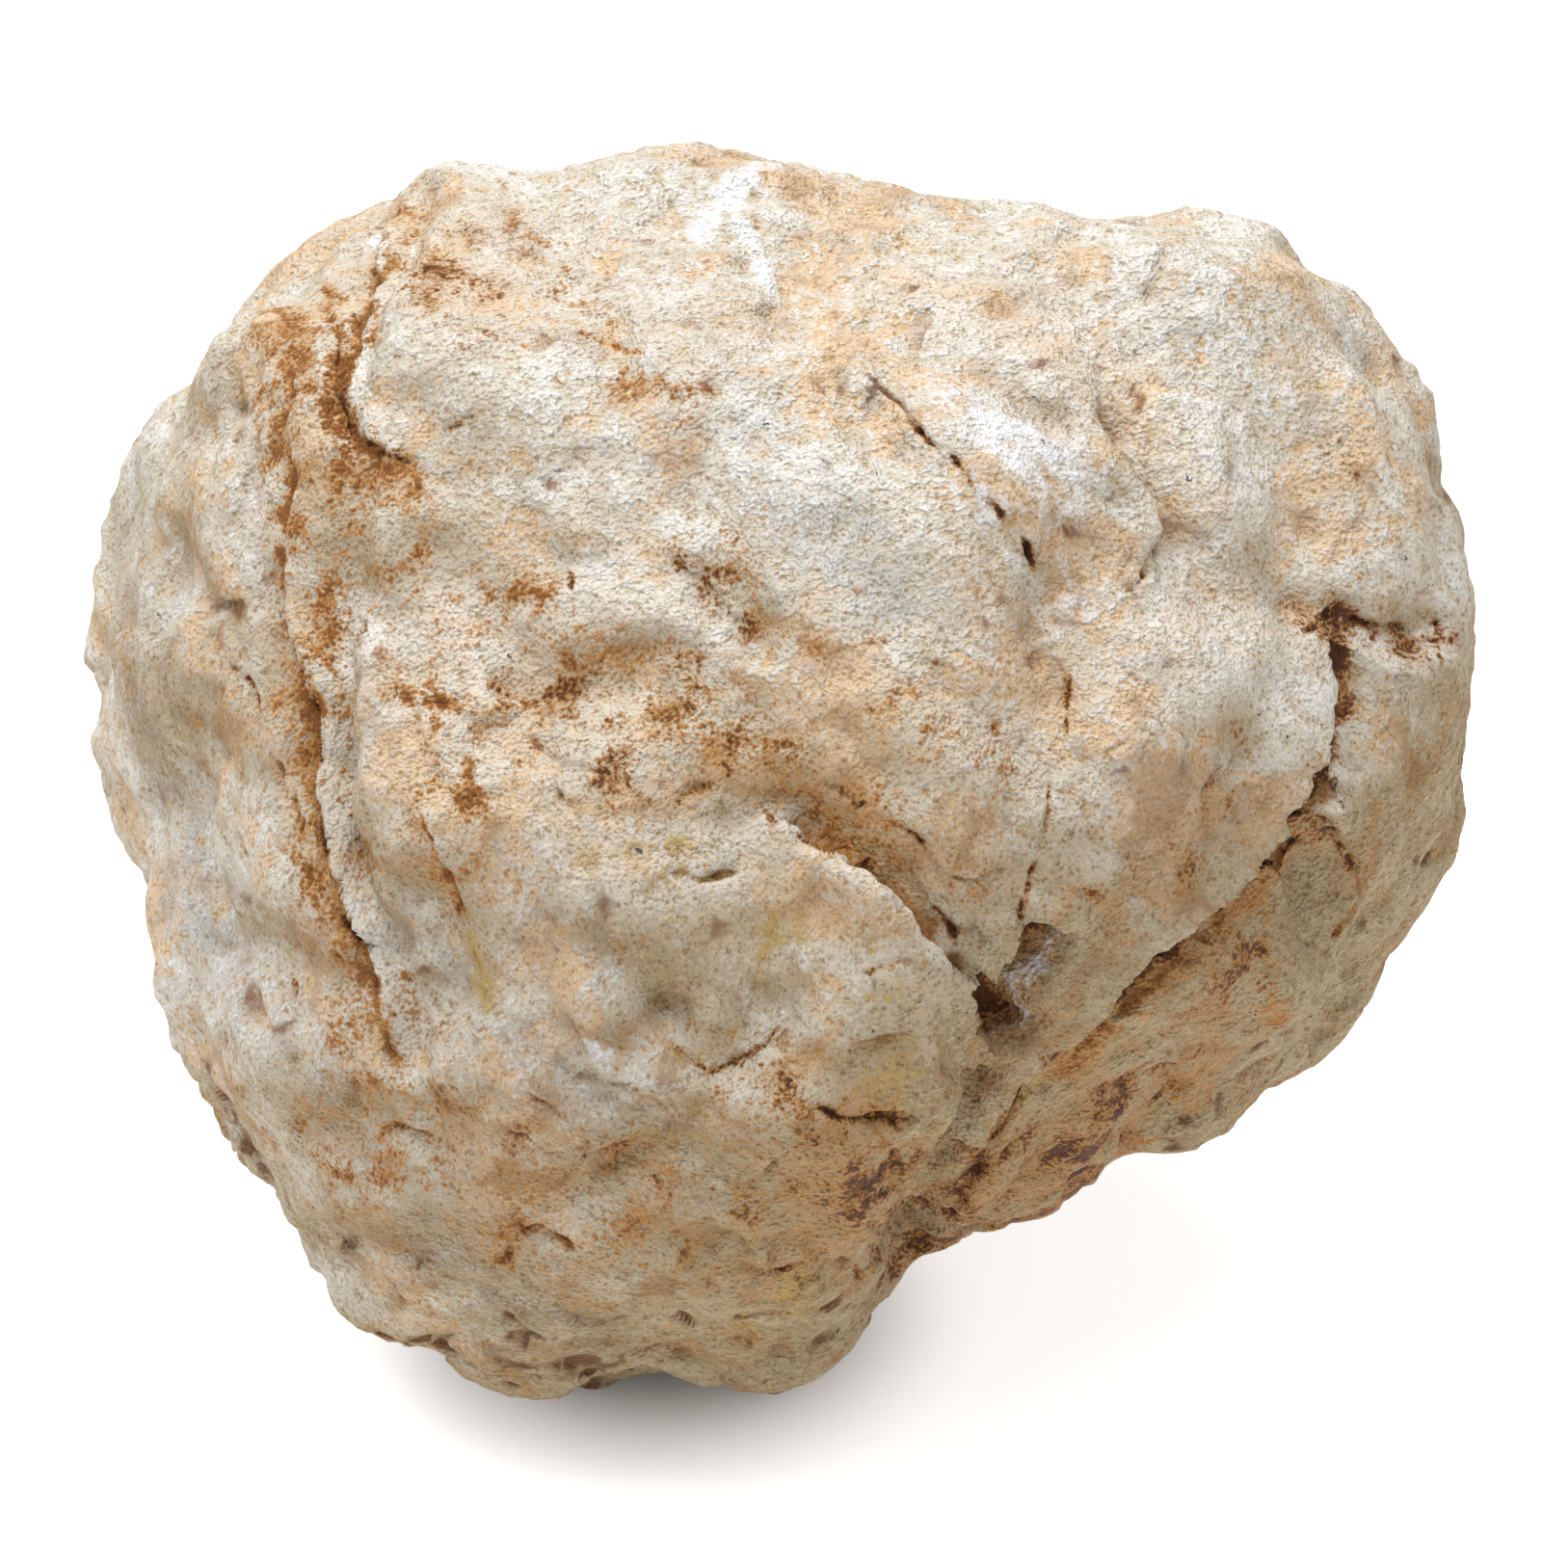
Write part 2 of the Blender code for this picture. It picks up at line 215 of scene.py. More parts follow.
def on_stone(pixel):
    """Where the line of sight through a pixel meets the stone, or passes closest to it."""
    ray = line_of_sight(pixel)
    hit = tree.ray_cast(Vector(EYE), Vector(ray))[0]
    if hit is None:
        hit = tree.find_nearest(Vector(EYE + ray * ((CENTRE - EYE) @ ray)))[0]
    return np.array(hit)


def path_on_stone(pixels):
    pixels = np.array(pixels, float)
    lengths = np.linalg.norm(np.diff(pixels, axis=0), axis=1)
    along = np.concatenate([[0.0], np.cumsum(lengths)])
    steps = np.linspace(0.0, along[-1], int(along[-1] / PATH_STEP) + 2)
    places = np.column_stack([np.interp(steps, along, pixels[:, axis]) for axis in (0, 1)])
    return np.array([on_stone(place) for place in places])


def measure_path(points, path):
    """Each point's distance from the path, its side (1 is left), and the run to the path's end."""
    starts, runs = path[:-1], np.diff(path, axis=0)
    offsets = points[:, None] - starts
    share = np.einsum("psk,sk->ps", offsets, runs) / np.einsum("sk,sk->s", runs, runs)
    share = np.clip(share, 0.0, 1.0)
    gaps = offsets - share[..., None] * runs
    distances = np.linalg.norm(gaps, axis=2)
    rows, nearest = np.arange(len(points)), np.argmin(distances, axis=1)
    lefts = unit(np.cross(starts - CENTRE, runs))
    share_there = share[rows, nearest]
    beside = nearest + (share_there >= 1.0) - (share_there <= 0.0)
    left = lefts[nearest] + lefts[np.clip(beside, 0, len(runs) - 1)]
    side = np.where(np.einsum("pk,pk->p", gaps[rows, nearest], left) >= 0.0, 1.0, -1.0)
    lengths = np.linalg.norm(runs, axis=1)
    before = np.concatenate([[0.0], np.cumsum(lengths)])
    run = before[nearest] + share_there * lengths[nearest]
    return distances[rows, nearest], side, np.minimum(run, before[-1] - run)


def within(points, path, reach):
    low, high = path.min(axis=0) - reach, path.max(axis=0) + reach
    return np.flatnonzero(((points > low) & (points < high)).all(axis=1))


# --- The rind's relief and stains ---
# Plates, large and small: their size, and the width over which they meet.
LARGE_PLATES = (6.5, 0.28)
SMALL_PLATES = (2.4, 0.16)
PLATE_LEAN = 1.1  # how steeply plates lean, beside how much their levels differ
# These turn a plate's place into its own level and lean.
PLATE_LEVELS = np.array([41.3, 17.9, 29.7])
PLATE_LEANS = np.array([[23.1, 37.9, 11.3], [51.7, 19.3, 43.9], [13.7, 61.1, 31.3]])

# How high the weathering stands, and how strong the creases between the plates are.
LARGE_RELIEF = 0.16
SMALL_RELIEF = 0.07
CRAGGY_RELIEF = 0.11  # of the small plates, on top, where the rind is craggy
CRUMB_RELIEF = 0.09
CRUMBS = (1.5, 0.8)  # their sizes
LARGE_CREASE = 0.30
SMALL_CREASE = 0.35
CRAGGY = (30.0, 15.0)  # the heights over the floor between which the rind grows more craggy
FLOOR_FADE = 1.5  # the height over the floor within which the rind turns plain

# Ledges and seams: the distances from the edge over which each breaks, the shares of a seam's rise
# on its left and right side, and how far they reach.
LEDGE_BREAK = (-0.12, 0.30)
SEAM_BREAK = (-0.05, 0.22)
SEAM_RISE, SEAM_SINK = 0.28, -0.20
SEAM_RISE_REACH = 1.6
THINNEST_SEAM = 0.13

UNDER_SHADE_LEAN = 0.016  # how much further up the under side's brown and painted shade reach, per millimetre to the right
UNDER_SHADE_HEIGHTS = (50.0, 30.0)  # the heights over the floor between which it starts to lean


def field(points, size):
    return np.array([noise.noise(Vector(p)) for p in points / size])


def cloud(points, size, octaves=3):
    """A field with finer and finer detail, about -1 to 1."""
    return np.array([noise.fractal(Vector(p), 0.9, 2.1, octaves) for p in points / size])


def warp(points, size, amount):
    shifted = [noise.noise_vector(Vector(p)) for p in points / size]
    return points + amount * np.array(shifted)


def wander(points):
    """The points pushed about, so that traced lines come out natural."""
    return warp(warp(points, 4.0, 0.6), 1.0, 0.2)


def plates(points, size, edge):
    """Overlapping plates, each with its own level and lean, that meet over the edge's width.

    Gives their height, and how sharply one plate stands over the next at each point.
    """
    found = [noise.voronoi(Vector(p)) for p in points / size]
    distances = np.array([gaps for gaps, _ in found])
    seeds = np.array([[tuple(seed) for seed in near] for _, near in found])
    weights = np.exp(-(distances - distances[:, :1]) * size / edge)
    leans = np.sin(seeds @ PLATE_LEANS)
    levels = np.sin(seeds @ PLATE_LEVELS)
    own = levels + PLATE_LEAN * np.einsum("psk,psk->ps", leans, points[:, None] / size - seeds)
    height = (weights * own).sum(axis=1) / weights.sum(axis=1)
    step = np.abs(own[:, 0] - own[:, 1]) * bump((distances[:, 1] - distances[:, 0]) * size, 2.0 * edge)
    return height, step


def weathering(points, rough, breaks):
    """The height of the plates and crumbs, and the strength of the creases between the plates."""
    bent = warp(warp(points, 9.0, 2.4), 2.4, 0.8)
    height, step = plates(bent, *LARGE_PLATES)
    heights = LARGE_RELIEF * height
    creases = LARGE_CREASE * step * breaks
    height, step = plates(bent + 31.0, *SMALL_PLATES)
    heights += (SMALL_RELIEF + CRAGGY_RELIEF * rough) * height
    creases = np.maximum(creases, SMALL_CREASE * rough * step * breaks)
    large, small = CRUMBS
    heights += CRUMB_RELIEF * field(bent, large) + CRUMB_RELIEF * field(points + 9.0, small)
    return heights, creases


def cut_ledges(heights, wandering):
    for path, rise, sink, rise_reach, sink_reach in traced_ledges:
        near = within(wandering, path, 2.2 * max(rise_reach, sink_reach))
        distance, side, run_to_end = measure_path(wandering[near], path)
        fade = softened(run_to_end, -1.0, 2.5) * softened(distance, *LEDGE_BREAK)
        up, down = rise * bump(distance, rise_reach), -sink * bump(distance, sink_reach)
        heights[near] += fade * np.where(side > 0, up, down)


def cut_seams(heights, stains, wandering, breaks):
    """Opens each seam, lifts its left side over its right one, and stains it."""
    for path, half_width, depth, rise, kind, stain in traced_seams:
        reach = max(2.6 * half_width, 2.2 if rise else 0.0, 1.2)
        near = within(wandering, path, reach + 0.5)
        distance, side, run_to_end = measure_path(wandering[near], path)
        fade = softened(run_to_end, -0.3, 0.9)
        width = np.maximum(half_width * (0.6 + 0.7 * breaks[near]), THINNEST_SEAM)
        heights[near] -= depth * (0.6 + 0.5 * breaks[near]) * fade * bump(distance, width)
        step = np.where(side > 0, SEAM_RISE, SEAM_SINK) * softened(distance, *SEAM_BREAK)
        heights[near] += rise * step * bump(distance, SEAM_RISE_REACH) * fade
        mark = stain * (0.70 + 0.35 * breaks[near]) * fade * bump(distance, width + 0.06)
        stains[kind][near] = np.maximum(stains[kind][near], mark)


def spread_stains(stains, wandering, breaks):
    for path, half_width, kind, stain in traced_stains:
        near = within(wandering, path, 3.0 * half_width)
        distance, _, _ = measure_path(wandering[near], path)
        mark = stain * bump(distance, 1.3 * half_width) * (0.7 + 0.4 * breaks[near])
        stains[kind][near] = np.maximum(stains[kind][near], mark)


def shape_dents(heights, wandering):
    for centre, radius, height in traced_dents:
        distance = np.linalg.norm(wandering - centre, axis=1)
        heights += height * bump(distance, radius)


def open_pocket(heights, stains, points):
    """Cuts the pocket, with white calcite on its wall and brown in its depth."""
    cut, inside = pocket(warp(points, 1.0, 0.2), pocket_rim)
    heights *= 1.0 - 0.5 * inside
    heights += cut
    heights += 0.5 * inside * np.abs(field(points, 1.1))
    stains["white"] = np.maximum(stains["white"], inside * softened(-cut, 2.6, 1.2))
    stains["brown"] = np.maximum(stains["brown"], 0.8 * inside * softened(-cut, 1.8, 3.0))


def under_brown_and_shade(points, normals):
    """How strong the under side's brown and painted shade are, by how far the surface faces down: they
    reach further up on the right.
    """
    lean = UNDER_SHADE_LEAN * points[:, 0] * softened(points[:, 2], *UNDER_SHADE_HEIGHTS)
    return softened(lean - normals[:, 2] + 0.35 * field(points, 8.0), -1.0, 0.30)


def rind(points, normals):
    """How far the rind stands out at each point, and the strength of each stain there and of the under
    side's brown and painted shade.
    """
    stains = {name: np.zeros(len(points)) for name in STAIN_KINDS}
    rough = softened(field(points, 13.0), -0.3, 0.35) + softened(points[:, 2], *CRAGGY)
    breaks = softened(field(points, 1.4), -0.45, 0.35)
    wandering = wander(points)
    heights, stains["crease"] = weathering(points, rough, breaks)
    cut_ledges(heights, wandering)
    cut_seams(heights, stains, wandering, breaks)
    spread_stains(stains, wandering, breaks)
    shape_dents(heights, wandering)
    open_pocket(heights, stains, points)
    # The under side's brown and painted shade, darker where the rind faces down.
    stains["under"] = under_brown_and_shade(points, normals)
    heights *= softened(points[:, 2], 0.0, FLOOR_FADE)
    return heights, stains


def crevices(heights, triangles, rounds):
    """How far each point lies below the rind round it."""
    edges, _ = edge_table(triangles)
    a, b = edges.T
    count = np.bincount(edges.ravel(), minlength=len(heights))
    smooth = heights.copy()
    for _ in range(rounds):
        total = np.bincount(a, smooth[b], len(heights)) + np.bincount(b, smooth[a], len(heights))
        smooth = 0.5 * smooth + 0.5 * total / count
    return smooth - heights


# --- What shows on the stone ---
STAIN_KINDS = ("crease", "rust", "brown", "ochre", "white", "grey", "peach")

# Seams: half width and depth, how far the left side stands over the right, the stain and its
# strength, and the path.
SEAMS = [
    # Rust band.
    (0.45, 0.45, 0.2, "rust", 1.0, [(425, 190), (398, 250), (384, 300), (368, 350)]),
    (0.4, 0.4, 0.3, "rust", 1.0, [(372, 350), (362, 393), (366, 440), (382, 468), (410, 490)]),
    (0.35, 0.35, 0.3, "rust", 0.9, [(335, 300), (345, 340), (352, 380)]),
    (0.3, 0.35, 0.3, "rust", 1.0, [(300, 380), (294, 440), (305, 500), (296, 560)]),
    (0.3, 0.5, 0.5, "rust", 1.0, [(280, 610), (293, 653), (309, 688), (332, 715), (339, 749)]),
    (0.2, 0.45, 0.4, "brown", 0.8, [(339, 749), (334, 791), (328, 837), (332, 868), (343, 914)]),
    (0.22, 0.6, 0.4, "brown", 1.0, [(338, 890), (348, 930), (360, 950), (378, 975), (386, 1000)]),
    (0.35, 0.45, 0.4, "rust", 1.0, [(385, 1002), (394, 1040), (401, 1074), (412, 1104)]),
    (0.2, 0.35, 0.2, "rust", 0.9, [(300, 820), (312, 880), (322, 930), (340, 985), (352, 1010)]),
    (0.14, 0.4, 0.1, "brown", 0.8, [(235, 690), (259, 715), (274, 757), (280, 800)]),
    (0.12, 0.3, 0.1, "brown", 0.7, [(244, 852), (250, 875), (255, 894)]),
    (0.12, 0.35, 0.1, "brown", 0.8, [(303, 1009), (311, 1047)]),
    (0.16, 0.35, 0.2, "brown", 0.8, [(364, 1100), (374, 1135)]),
    (0.14, 0.3, 0.2, "rust", 0.7, [(343, 584), (358, 626), (381, 653)]),
    (0.18, 0.4, 0.2, "brown", 0.7, [(270, 760), (285, 800), (292, 830)]),
    # Upper left lobe.
    (0.2, 0.35, 0.2, "brown", 0.6, [(366, 393), (364, 427), (380, 455), (400, 466), (428, 479)]),
    (0.16, 0.25, 0.2, "brown", 0.6, [(455, 441), (480, 436), (504, 424)]),
    (0.14, 0.2, 0.2, "crease", 0.6, [(525, 503), (560, 500), (597, 489)]),
    (0.12, 0.2, 0.1, "rust", 0.6, [(520, 183), (535, 217), (559, 252), (568, 272), (568, 310)]),
    (0.2, 0.22, 0.2, "rust", 0.7, [(596, 339), (603, 349), (630, 356), (665, 372), (690, 400)]),
    (0.22, 0.25, 0.2, "rust", 0.5, [(690, 400), (703, 415), (699, 432), (684, 441)]),
    (0.16, 0.25, 0.2, "crease", 0.7, [(722, 395), (738, 404), (749, 418)]),
    (0.14, 0.22, 0.2, "crease", 0.6, [(833, 456), (860, 487), (883, 515)]),
    # Middle.
    (0.18, 0.5, 0.4, "brown", 0.7, [(691, 576), (714, 594), (733, 597), (749, 617), (779, 649)]),
    (0.2, 0.35, 0.3, "rust", 1.0, [(404, 714), (427, 730), (446, 726), (473, 732)]),
    (0.16, 0.3, 0.2, "brown", 0.7, [(473, 722), (484, 742), (510, 746), (540, 740)]),
    (0.18, 0.3, 0.2, "rust", 0.9, [(462, 735), (450, 764), (436, 800), (438, 850), (450, 890)]),
    (0.14, 0.22, 0.2, "ochre", 0.8, [(380, 812), (384, 850), (392, 880), (383, 920)]),
    (0.25, 0.4, 0.3, "rust", 1.0, [(450, 893), (466, 913), (473, 936), (484, 960)]),
    (0.16, 0.25, 0.2, "ochre", 1.0, [(485, 948), (492, 980), (500, 1009), (504, 1047)]),
    (0.2, 0.35, 0.3, "rust", 0.9, [(485, 780), (492, 799), (490, 840), (466, 862)]),
    (0.2, 0.45, 0.3, "brown", 0.7, [(515, 1070), (525, 1083), (536, 1093)]),
    (0.16, 0.35, 0.2, "brown", 0.9, [(707, 726), (722, 734), (737, 745)]),
    (0.14, 0.25, 0.2, "rust", 0.7, [(752, 730), (770, 745), (790, 754)]),
    (0.18, 0.4, 0.3, "brown", 0.9, [(745, 790), (757, 803), (748, 816)]),
    (0.16, 0.35, 0.2, "brown", 0.9, [(805, 792), (815, 786), (825, 774), (832, 790), (841, 800)]),
    (0.16, 0.4, -0.4, "brown", 0.9, [(847, 806), (872, 822), (883, 829), (896, 834)]),
    (0.16, 0.4, 0.3, "brown", 0.9, [
        (812, 819), (796, 836), (795, 854), (810, 866), (834, 872), (853, 885), (879, 896)]),
    (0.24, 0.4, 0.3, "crease", 0.9, [(764, 902), (738, 904), (713, 908)]),
    (0.16, 0.3, -0.3, "brown", 0.5, [(697, 841), (719, 825), (748, 819)]),
    (0.12, 0.25, 0.1, "brown", 0.8, [(600, 548), (610, 556), (606, 570)]),
    (0.12, 0.25, 0.1, "brown", 0.8, [(584, 590), (588, 604), (584, 618)]),
    (0.2, 0.25, 0.3, "crease", 0.7, [(655, 925), (690, 905), (713, 905), (760, 900)]),
    (0.16, 0.25, 0.3, "crease", 0.8, [(545, 760), (580, 790), (640, 800), (700, 815)]),
    # Diagonal.
    (0.22, 0.75, -0.9, "brown", 0.9, [
        (879, 893), (898, 905), (917, 924), (939, 940), (955, 959), (962, 978), (975, 994)]),
    (0.16, 0.55, 0.3, "brown", 0.8, [(943, 915), (965, 934), (987, 962), (997, 982)]),
    (0.18, 0.4, 0.5, "brown", 0.7, [
        (927, 860), (943, 867), (965, 886), (984, 905), (1022, 908), (1050, 900)]),
    (0.14, 0.3, 0.3, "ochre", 0.7, [(997, 886), (1015, 895), (1032, 899), (1050, 893)]),
    (0.14, 0.35, 0.4, "crease", 0.8, [(978, 905), (990, 918), (1003, 927)]),
    (0.2, 0.35, -0.4, "brown", 0.6, [(888, 1012), (914, 1002), (936, 999), (975, 997)]),
    # Long crack.
    (0.1, 0.5, 0.15, "crease", 1.3, [(871, 364), (895, 386), (930, 420), (962, 452)]),
    (0.13, 1.0, 0.2, "brown", 1.5, [
        (945, 436), (962, 452), (980, 466), (997, 487), (1009, 509), (1025, 522), (1038, 538),
        (1051, 559), (1064, 580), (1079, 605)]),
    (0.1, 0.4, 0.2, "brown", 0.8, [
        (1072, 590), (1079, 633), (1097, 678), (1108, 707), (1112, 737), (1110, 759), (1095, 777),
        (1091, 807), (1086, 859), (1093, 874), (1071, 903), (1065, 937), (1056, 970)]),
    # Right.
    (0.35, 0.5, 0.6, "peach", 0.8, [
        (1186, 596), (1197, 575), (1200, 546), (1188, 506), (1165, 480), (1154, 461), (1146, 421)]),
    (0.2, 0.5, 0.2, "brown", 0.6, [(1198, 548), (1196, 572), (1184, 598), (1170, 612)]),
    (0.16, 0.35, 0.1, "rust", 1.0, [(1115, 922), (1145, 933), (1167, 951), (1197, 955)]),
    (0.12, 0.3, 0.2, "brown", 0.8, [(1160, 874), (1182, 888), (1198, 880), (1212, 874)]),
    (0.14, 0.25, 0.2, "grey", 0.8, [(1226, 752), (1234, 770), (1226, 807), (1215, 829)]),
    (0.12, 0.25, 0.1, "brown", 0.7, [(955, 686), (969, 686), (982, 678)]),
    (0.12, 0.22, 0.2, "brown", 0.6, [(1022, 769), (1030, 758), (1041, 751)]),
    (0.12, 0.22, 0.2, "brown", 0.6, [(1071, 764), (1079, 755), (1094, 758)]),
    (0.14, 0.25, 0.2, "ochre", 0.8, [(1123, 789), (1152, 781), (1178, 770)]),
    (0.16, 0.25, 0.2, "peach", 0.9, [(1132, 268), (1150, 276), (1171, 282)]),
    (0.2, 0.35, 0.3, "crease", 0.7, [(1236, 832), (1262, 800), (1290, 780), (1330, 790)]),
    # Overhang.
    (0.45, 0.8, 0.6, "brown", 1.0, [
        (1112, 1090), (1080, 1110), (1064, 1135)]),
    (0.4, 0.6, 0.3, "rust", 1.0, [
        (1342, 876), (1308, 914), (1290, 938), (1256, 960), (1228, 974), (1208, 996),
        (1190, 1024), (1160, 1058), (1130, 1076)]),
    (0.3, 0.4, 0.3, "rust", 0.9, [
        (1240, 1000), (1215, 1030), (1185, 1060), (1150, 1090), (1120, 1120)]),
    (0.35, 0.45, 0.3, "rust", 0.8, [(1060, 1140), (1025, 1185), (1000, 1235), (985, 1265)]),
    (0.45, 0.9, 0.4, "brown", 1.0, [(1338, 850), (1350, 846), (1362, 856)]),
    (0.3, 0.6, 0.3, "brown", 0.9, [(1363, 855), (1389, 877), (1402, 905), (1408, 931)]),
    (0.25, 0.4, 0.3, "brown", 0.7, [(1408, 931), (1399, 960), (1385, 976)]),
    # Brown cracks.
    (0.2, 0.7, 0.2, "brown", 1.0, [(1354, 656), (1367, 648), (1379, 639), (1397, 618)]),
    (0.18, 0.6, 0.1, "brown", 0.9, [(1397, 625), (1410, 645), (1432, 650), (1471, 664)]),
    (0.18, 0.5, 0.1, "brown", 0.8, [(1471, 664), (1490, 664), (1500, 650), (1488, 630)]),
    (0.16, 0.4, 0.1, "brown", 0.6, [(1410, 640), (1425, 655), (1440, 672), (1475, 682)]),
    (0.25, 0.4, 0.2, "brown", 0.6, [(1380, 715), (1383, 730), (1386, 745)]),
    # Pocket's edge.
    (0.14, 0.35, -0.5, "brown", 0.7, [(975, 994), (985, 1000), (1000, 1000)]),
    (0.2, 0.4, 0.4, "crease", 0.9, [(1022, 1082), (1020, 1095), (1022, 1110)]),
    # Chin.
    (0.18, 0.3, 0.3, "brown", 0.35, [
        (688, 1066), (697, 1082), (713, 1104), (742, 1117), (770, 1098), (796, 1079), (812, 1056)]),
    (0.18, 0.35, 0.4, "crease", 0.9, [(1016, 1108), (1032, 1122), (1036, 1145), (1022, 1174)]),
    (0.3, 0.5, 0.4, "rust", 0.7, [(905, 1160), (925, 1190), (932, 1220), (939, 1250)]),
    (0.25, 0.4, 0.4, "brown", 0.6, [(850, 1155), (880, 1165), (930, 1170), (975, 1140)]),
    (0.2, 0.3, 0.3, "brown", 0.6, [(920, 1282), (940, 1277), (962, 1276)]),
    (0.2, 0.35, 0.3, "rust", 0.6, [(847, 1155), (835, 1170), (838, 1190)]),
    (0.25, 0.45, 0.5, "rust", 0.8, [(387, 1172), (406, 1164), (429, 1166), (447, 1180)]),
    (0.25, 0.45, 0.5, "rust", 0.8, [(515, 1308), (528, 1285), (560, 1272), (585, 1288), (596, 1306)]),
    (0.16, 0.35, 0.3, "brown", 0.6, [(547, 1123), (570, 1145), (594, 1162)]),
    (0.2, 0.4, 0.3, "rust", 0.7, [(656, 1232), (663, 1250), (672, 1268)]),
    (0.2, 0.35, 0.3, "brown", 0.6, [(713, 1222), (726, 1230), (739, 1232), (764, 1228)]),
    (0.25, 0.35, 0.4, "crease", 0.7, [(590, 1110), (630, 1128), (665, 1140), (690, 1145)]),
    (0.25, 0.4, 0.3, "rust", 0.6, [(340, 1210), (362, 1222), (384, 1219)]),
    (0.16, 0.4, 0.4, "brown", 0.7, [(776, 1229), (806, 1205), (838, 1177), (845, 1158)]),
    (0.18, 0.5, 0.5, "brown", 0.8, [(895, 1167), (930, 1158), (967, 1160), (985, 1184), (1034, 1196)]),
    (0.16, 0.4, 0.4, "brown", 0.8, [(914, 1210), (938, 1234), (941, 1253)]),
    (0.14, 0.4, 0.4, "brown", 0.7, [(967, 1143), (995, 1120), (1015, 1105)]),
    (0.2, 0.35, 0.3, "ochre", 1.0, [(986, 1229), (1038, 1200), (1077, 1177)]),
    (0.18, 0.4, 0.4, "brown", 0.8, [(852, 1315), (890, 1311), (905, 1325)]),
    (0.16, 0.4, 0.4, "brown", 0.8, [(905, 1265), (935, 1280), (960, 1276)]),
    (0.14, 0.35, 0.3, "brown", 0.7, [(760, 1300), (800, 1318), (840, 1310)]),
    (0.14, 0.35, 0.4, "rust", 0.8, [(700, 1330), (730, 1322), (752, 1336)]),
    (0.14, 0.35, 0.3, "brown", 0.7, [(600, 1165), (612, 1185), (608, 1210)]),
    (0.16, 0.3, 0.3, "crease", 0.8, [(560, 1190), (620, 1200), (690, 1190), (720, 1165)]),
]

# Ledges: how far the left side rises and the right side sinks at the edge, how far each reaches,
# and the path.
LEDGES = [
    (0.5, 2.0, 2.0, 4.5, [
        (1035, 1150), (1072, 1114), (1108, 1082), (1150, 1040), (1188, 992), (1225, 962), (1262, 938),
        (1292, 902), (1330, 864), (1350, 840)]),
    (0.2, 1.2, 3.0, 5.0, [(1350, 840), (1362, 800), (1372, 750), (1374, 700), (1382, 650)]),
    (0.35, 0.7, 2.5, 3.5, [
        (300, 560), (293, 640), (312, 690), (335, 740), (334, 791), (328, 837), (340, 905), (360, 950),
        (386, 1000), (398, 1045)]),
    (0.35, 0.5, 2.5, 3.0, [(420, 200), (398, 250), (374, 345), (362, 393), (380, 455), (428, 479)]),
    (0.3, 0.7, 2.5, 3.5, [
        (1000, 1000), (975, 990), (957, 956), (917, 924), (879, 893), (836, 872), (797, 850)]),
    (0.1, 0.15, 2.5, 3.0, [(820, 1056), (780, 1098), (742, 1120), (690, 1145), (630, 1128), (560, 1090)]),
    (0.2, 0.35, 2.5, 3.0, [(975, 1140), (930, 1172), (880, 1168), (840, 1160)]),
    (0.4, 0.7, 2.5, 3.0, [(1200, 590), (1200, 546), (1188, 506), (1160, 465), (1146, 421)]),
]

# Broad stains, by their kind: half width, strength and path.
# Brown: stains on the rind, with painted shade on the under side at the lower right, under the overhang's
# lip and beside the right ledge.
BROWN_STAINS_AND_SHADE = [
    (3.0, 0.2, [(420, 1060), (520, 1180), (640, 1260), (740, 1330)]),
    (3.2, 0.3, [(800, 1140), (880, 1220), (930, 1290)]),
    # Painted shade on the under side below the overhang, and along its lowest edge.
    (3.6, 0.32, [(1010, 1250), (1110, 1190), (1220, 1090), (1320, 980)]),
    (1.2, 0.9, [(1120, 1236), (1070, 1262), (1010, 1290), (955, 1325)]),
    # Painted shade beside the right ledge and in the recess under the overhang's lip.
    (1.8, 0.42, [(1372, 660), (1366, 740), (1345, 830), (1295, 880)]),
    (1.6, 0.36, [(1285, 775), (1262, 815), (1238, 858), (1212, 898), (1183, 935), (1152, 970)]),
    (0.5, 1.0, [(1352, 872), (1308, 922), (1250, 972), (1204, 1014), (1160, 1062), (1094, 1122)]),
    (0.8, 0.45, [(690, 575), (735, 600), (775, 645)]),
    (1.2, 0.35, [(700, 690), (730, 740), (770, 780), (830, 785)]),
    (0.9, 0.6, [(1100, 1075), (1078, 1109)]),
    (1.2, 0.8, [(1130, 1228), (1105, 1226)]),
    (1.2, 0.6, [(1360, 640), (1400, 640), (1450, 665), (1500, 660)]),
    (1.1, 0.6, [(1350, 820), (1370, 870), (1400, 905)]),
    (1.2, 0.35, [(1400, 460), (1400, 500)]),
    (0.9, 0.4, [(1380, 720), (1408, 740)]),
    (0.7, 0.55, [(1348, 770), (1334, 800)]),
    (1.0, 0.35, [(640, 1185), (680, 1240)]),
    (3.2, 0.3, [(420, 270), (490, 320)]),
    (3.0, 0.4, [(570, 740), (640, 770)]),
    # Painted shade over the under side at the lower right.
    (4.0, 0.62, [(870, 1230), (980, 1240), (1090, 1210), (1160, 1170)]),
]
PEACH_STAINS = [
    (3.0, 0.5, [(470, 690), (560, 800), (650, 860)]),
    (2.6, 0.55, [(930, 290), (1040, 330), (1140, 400), (1230, 520)]),
    (2.6, 0.45, [(1000, 600), (1060, 700), (1180, 700), (1280, 620)]),
    (2.2, 0.5, [(430, 600), (520, 660), (650, 690)]),
    (2.2, 0.45, [(760, 330), (850, 350)]),
    (2.0, 0.4, [(700, 1000), (800, 950), (900, 940)]),
    (3.2, 0.65, [(430, 260), (490, 310)]),
]
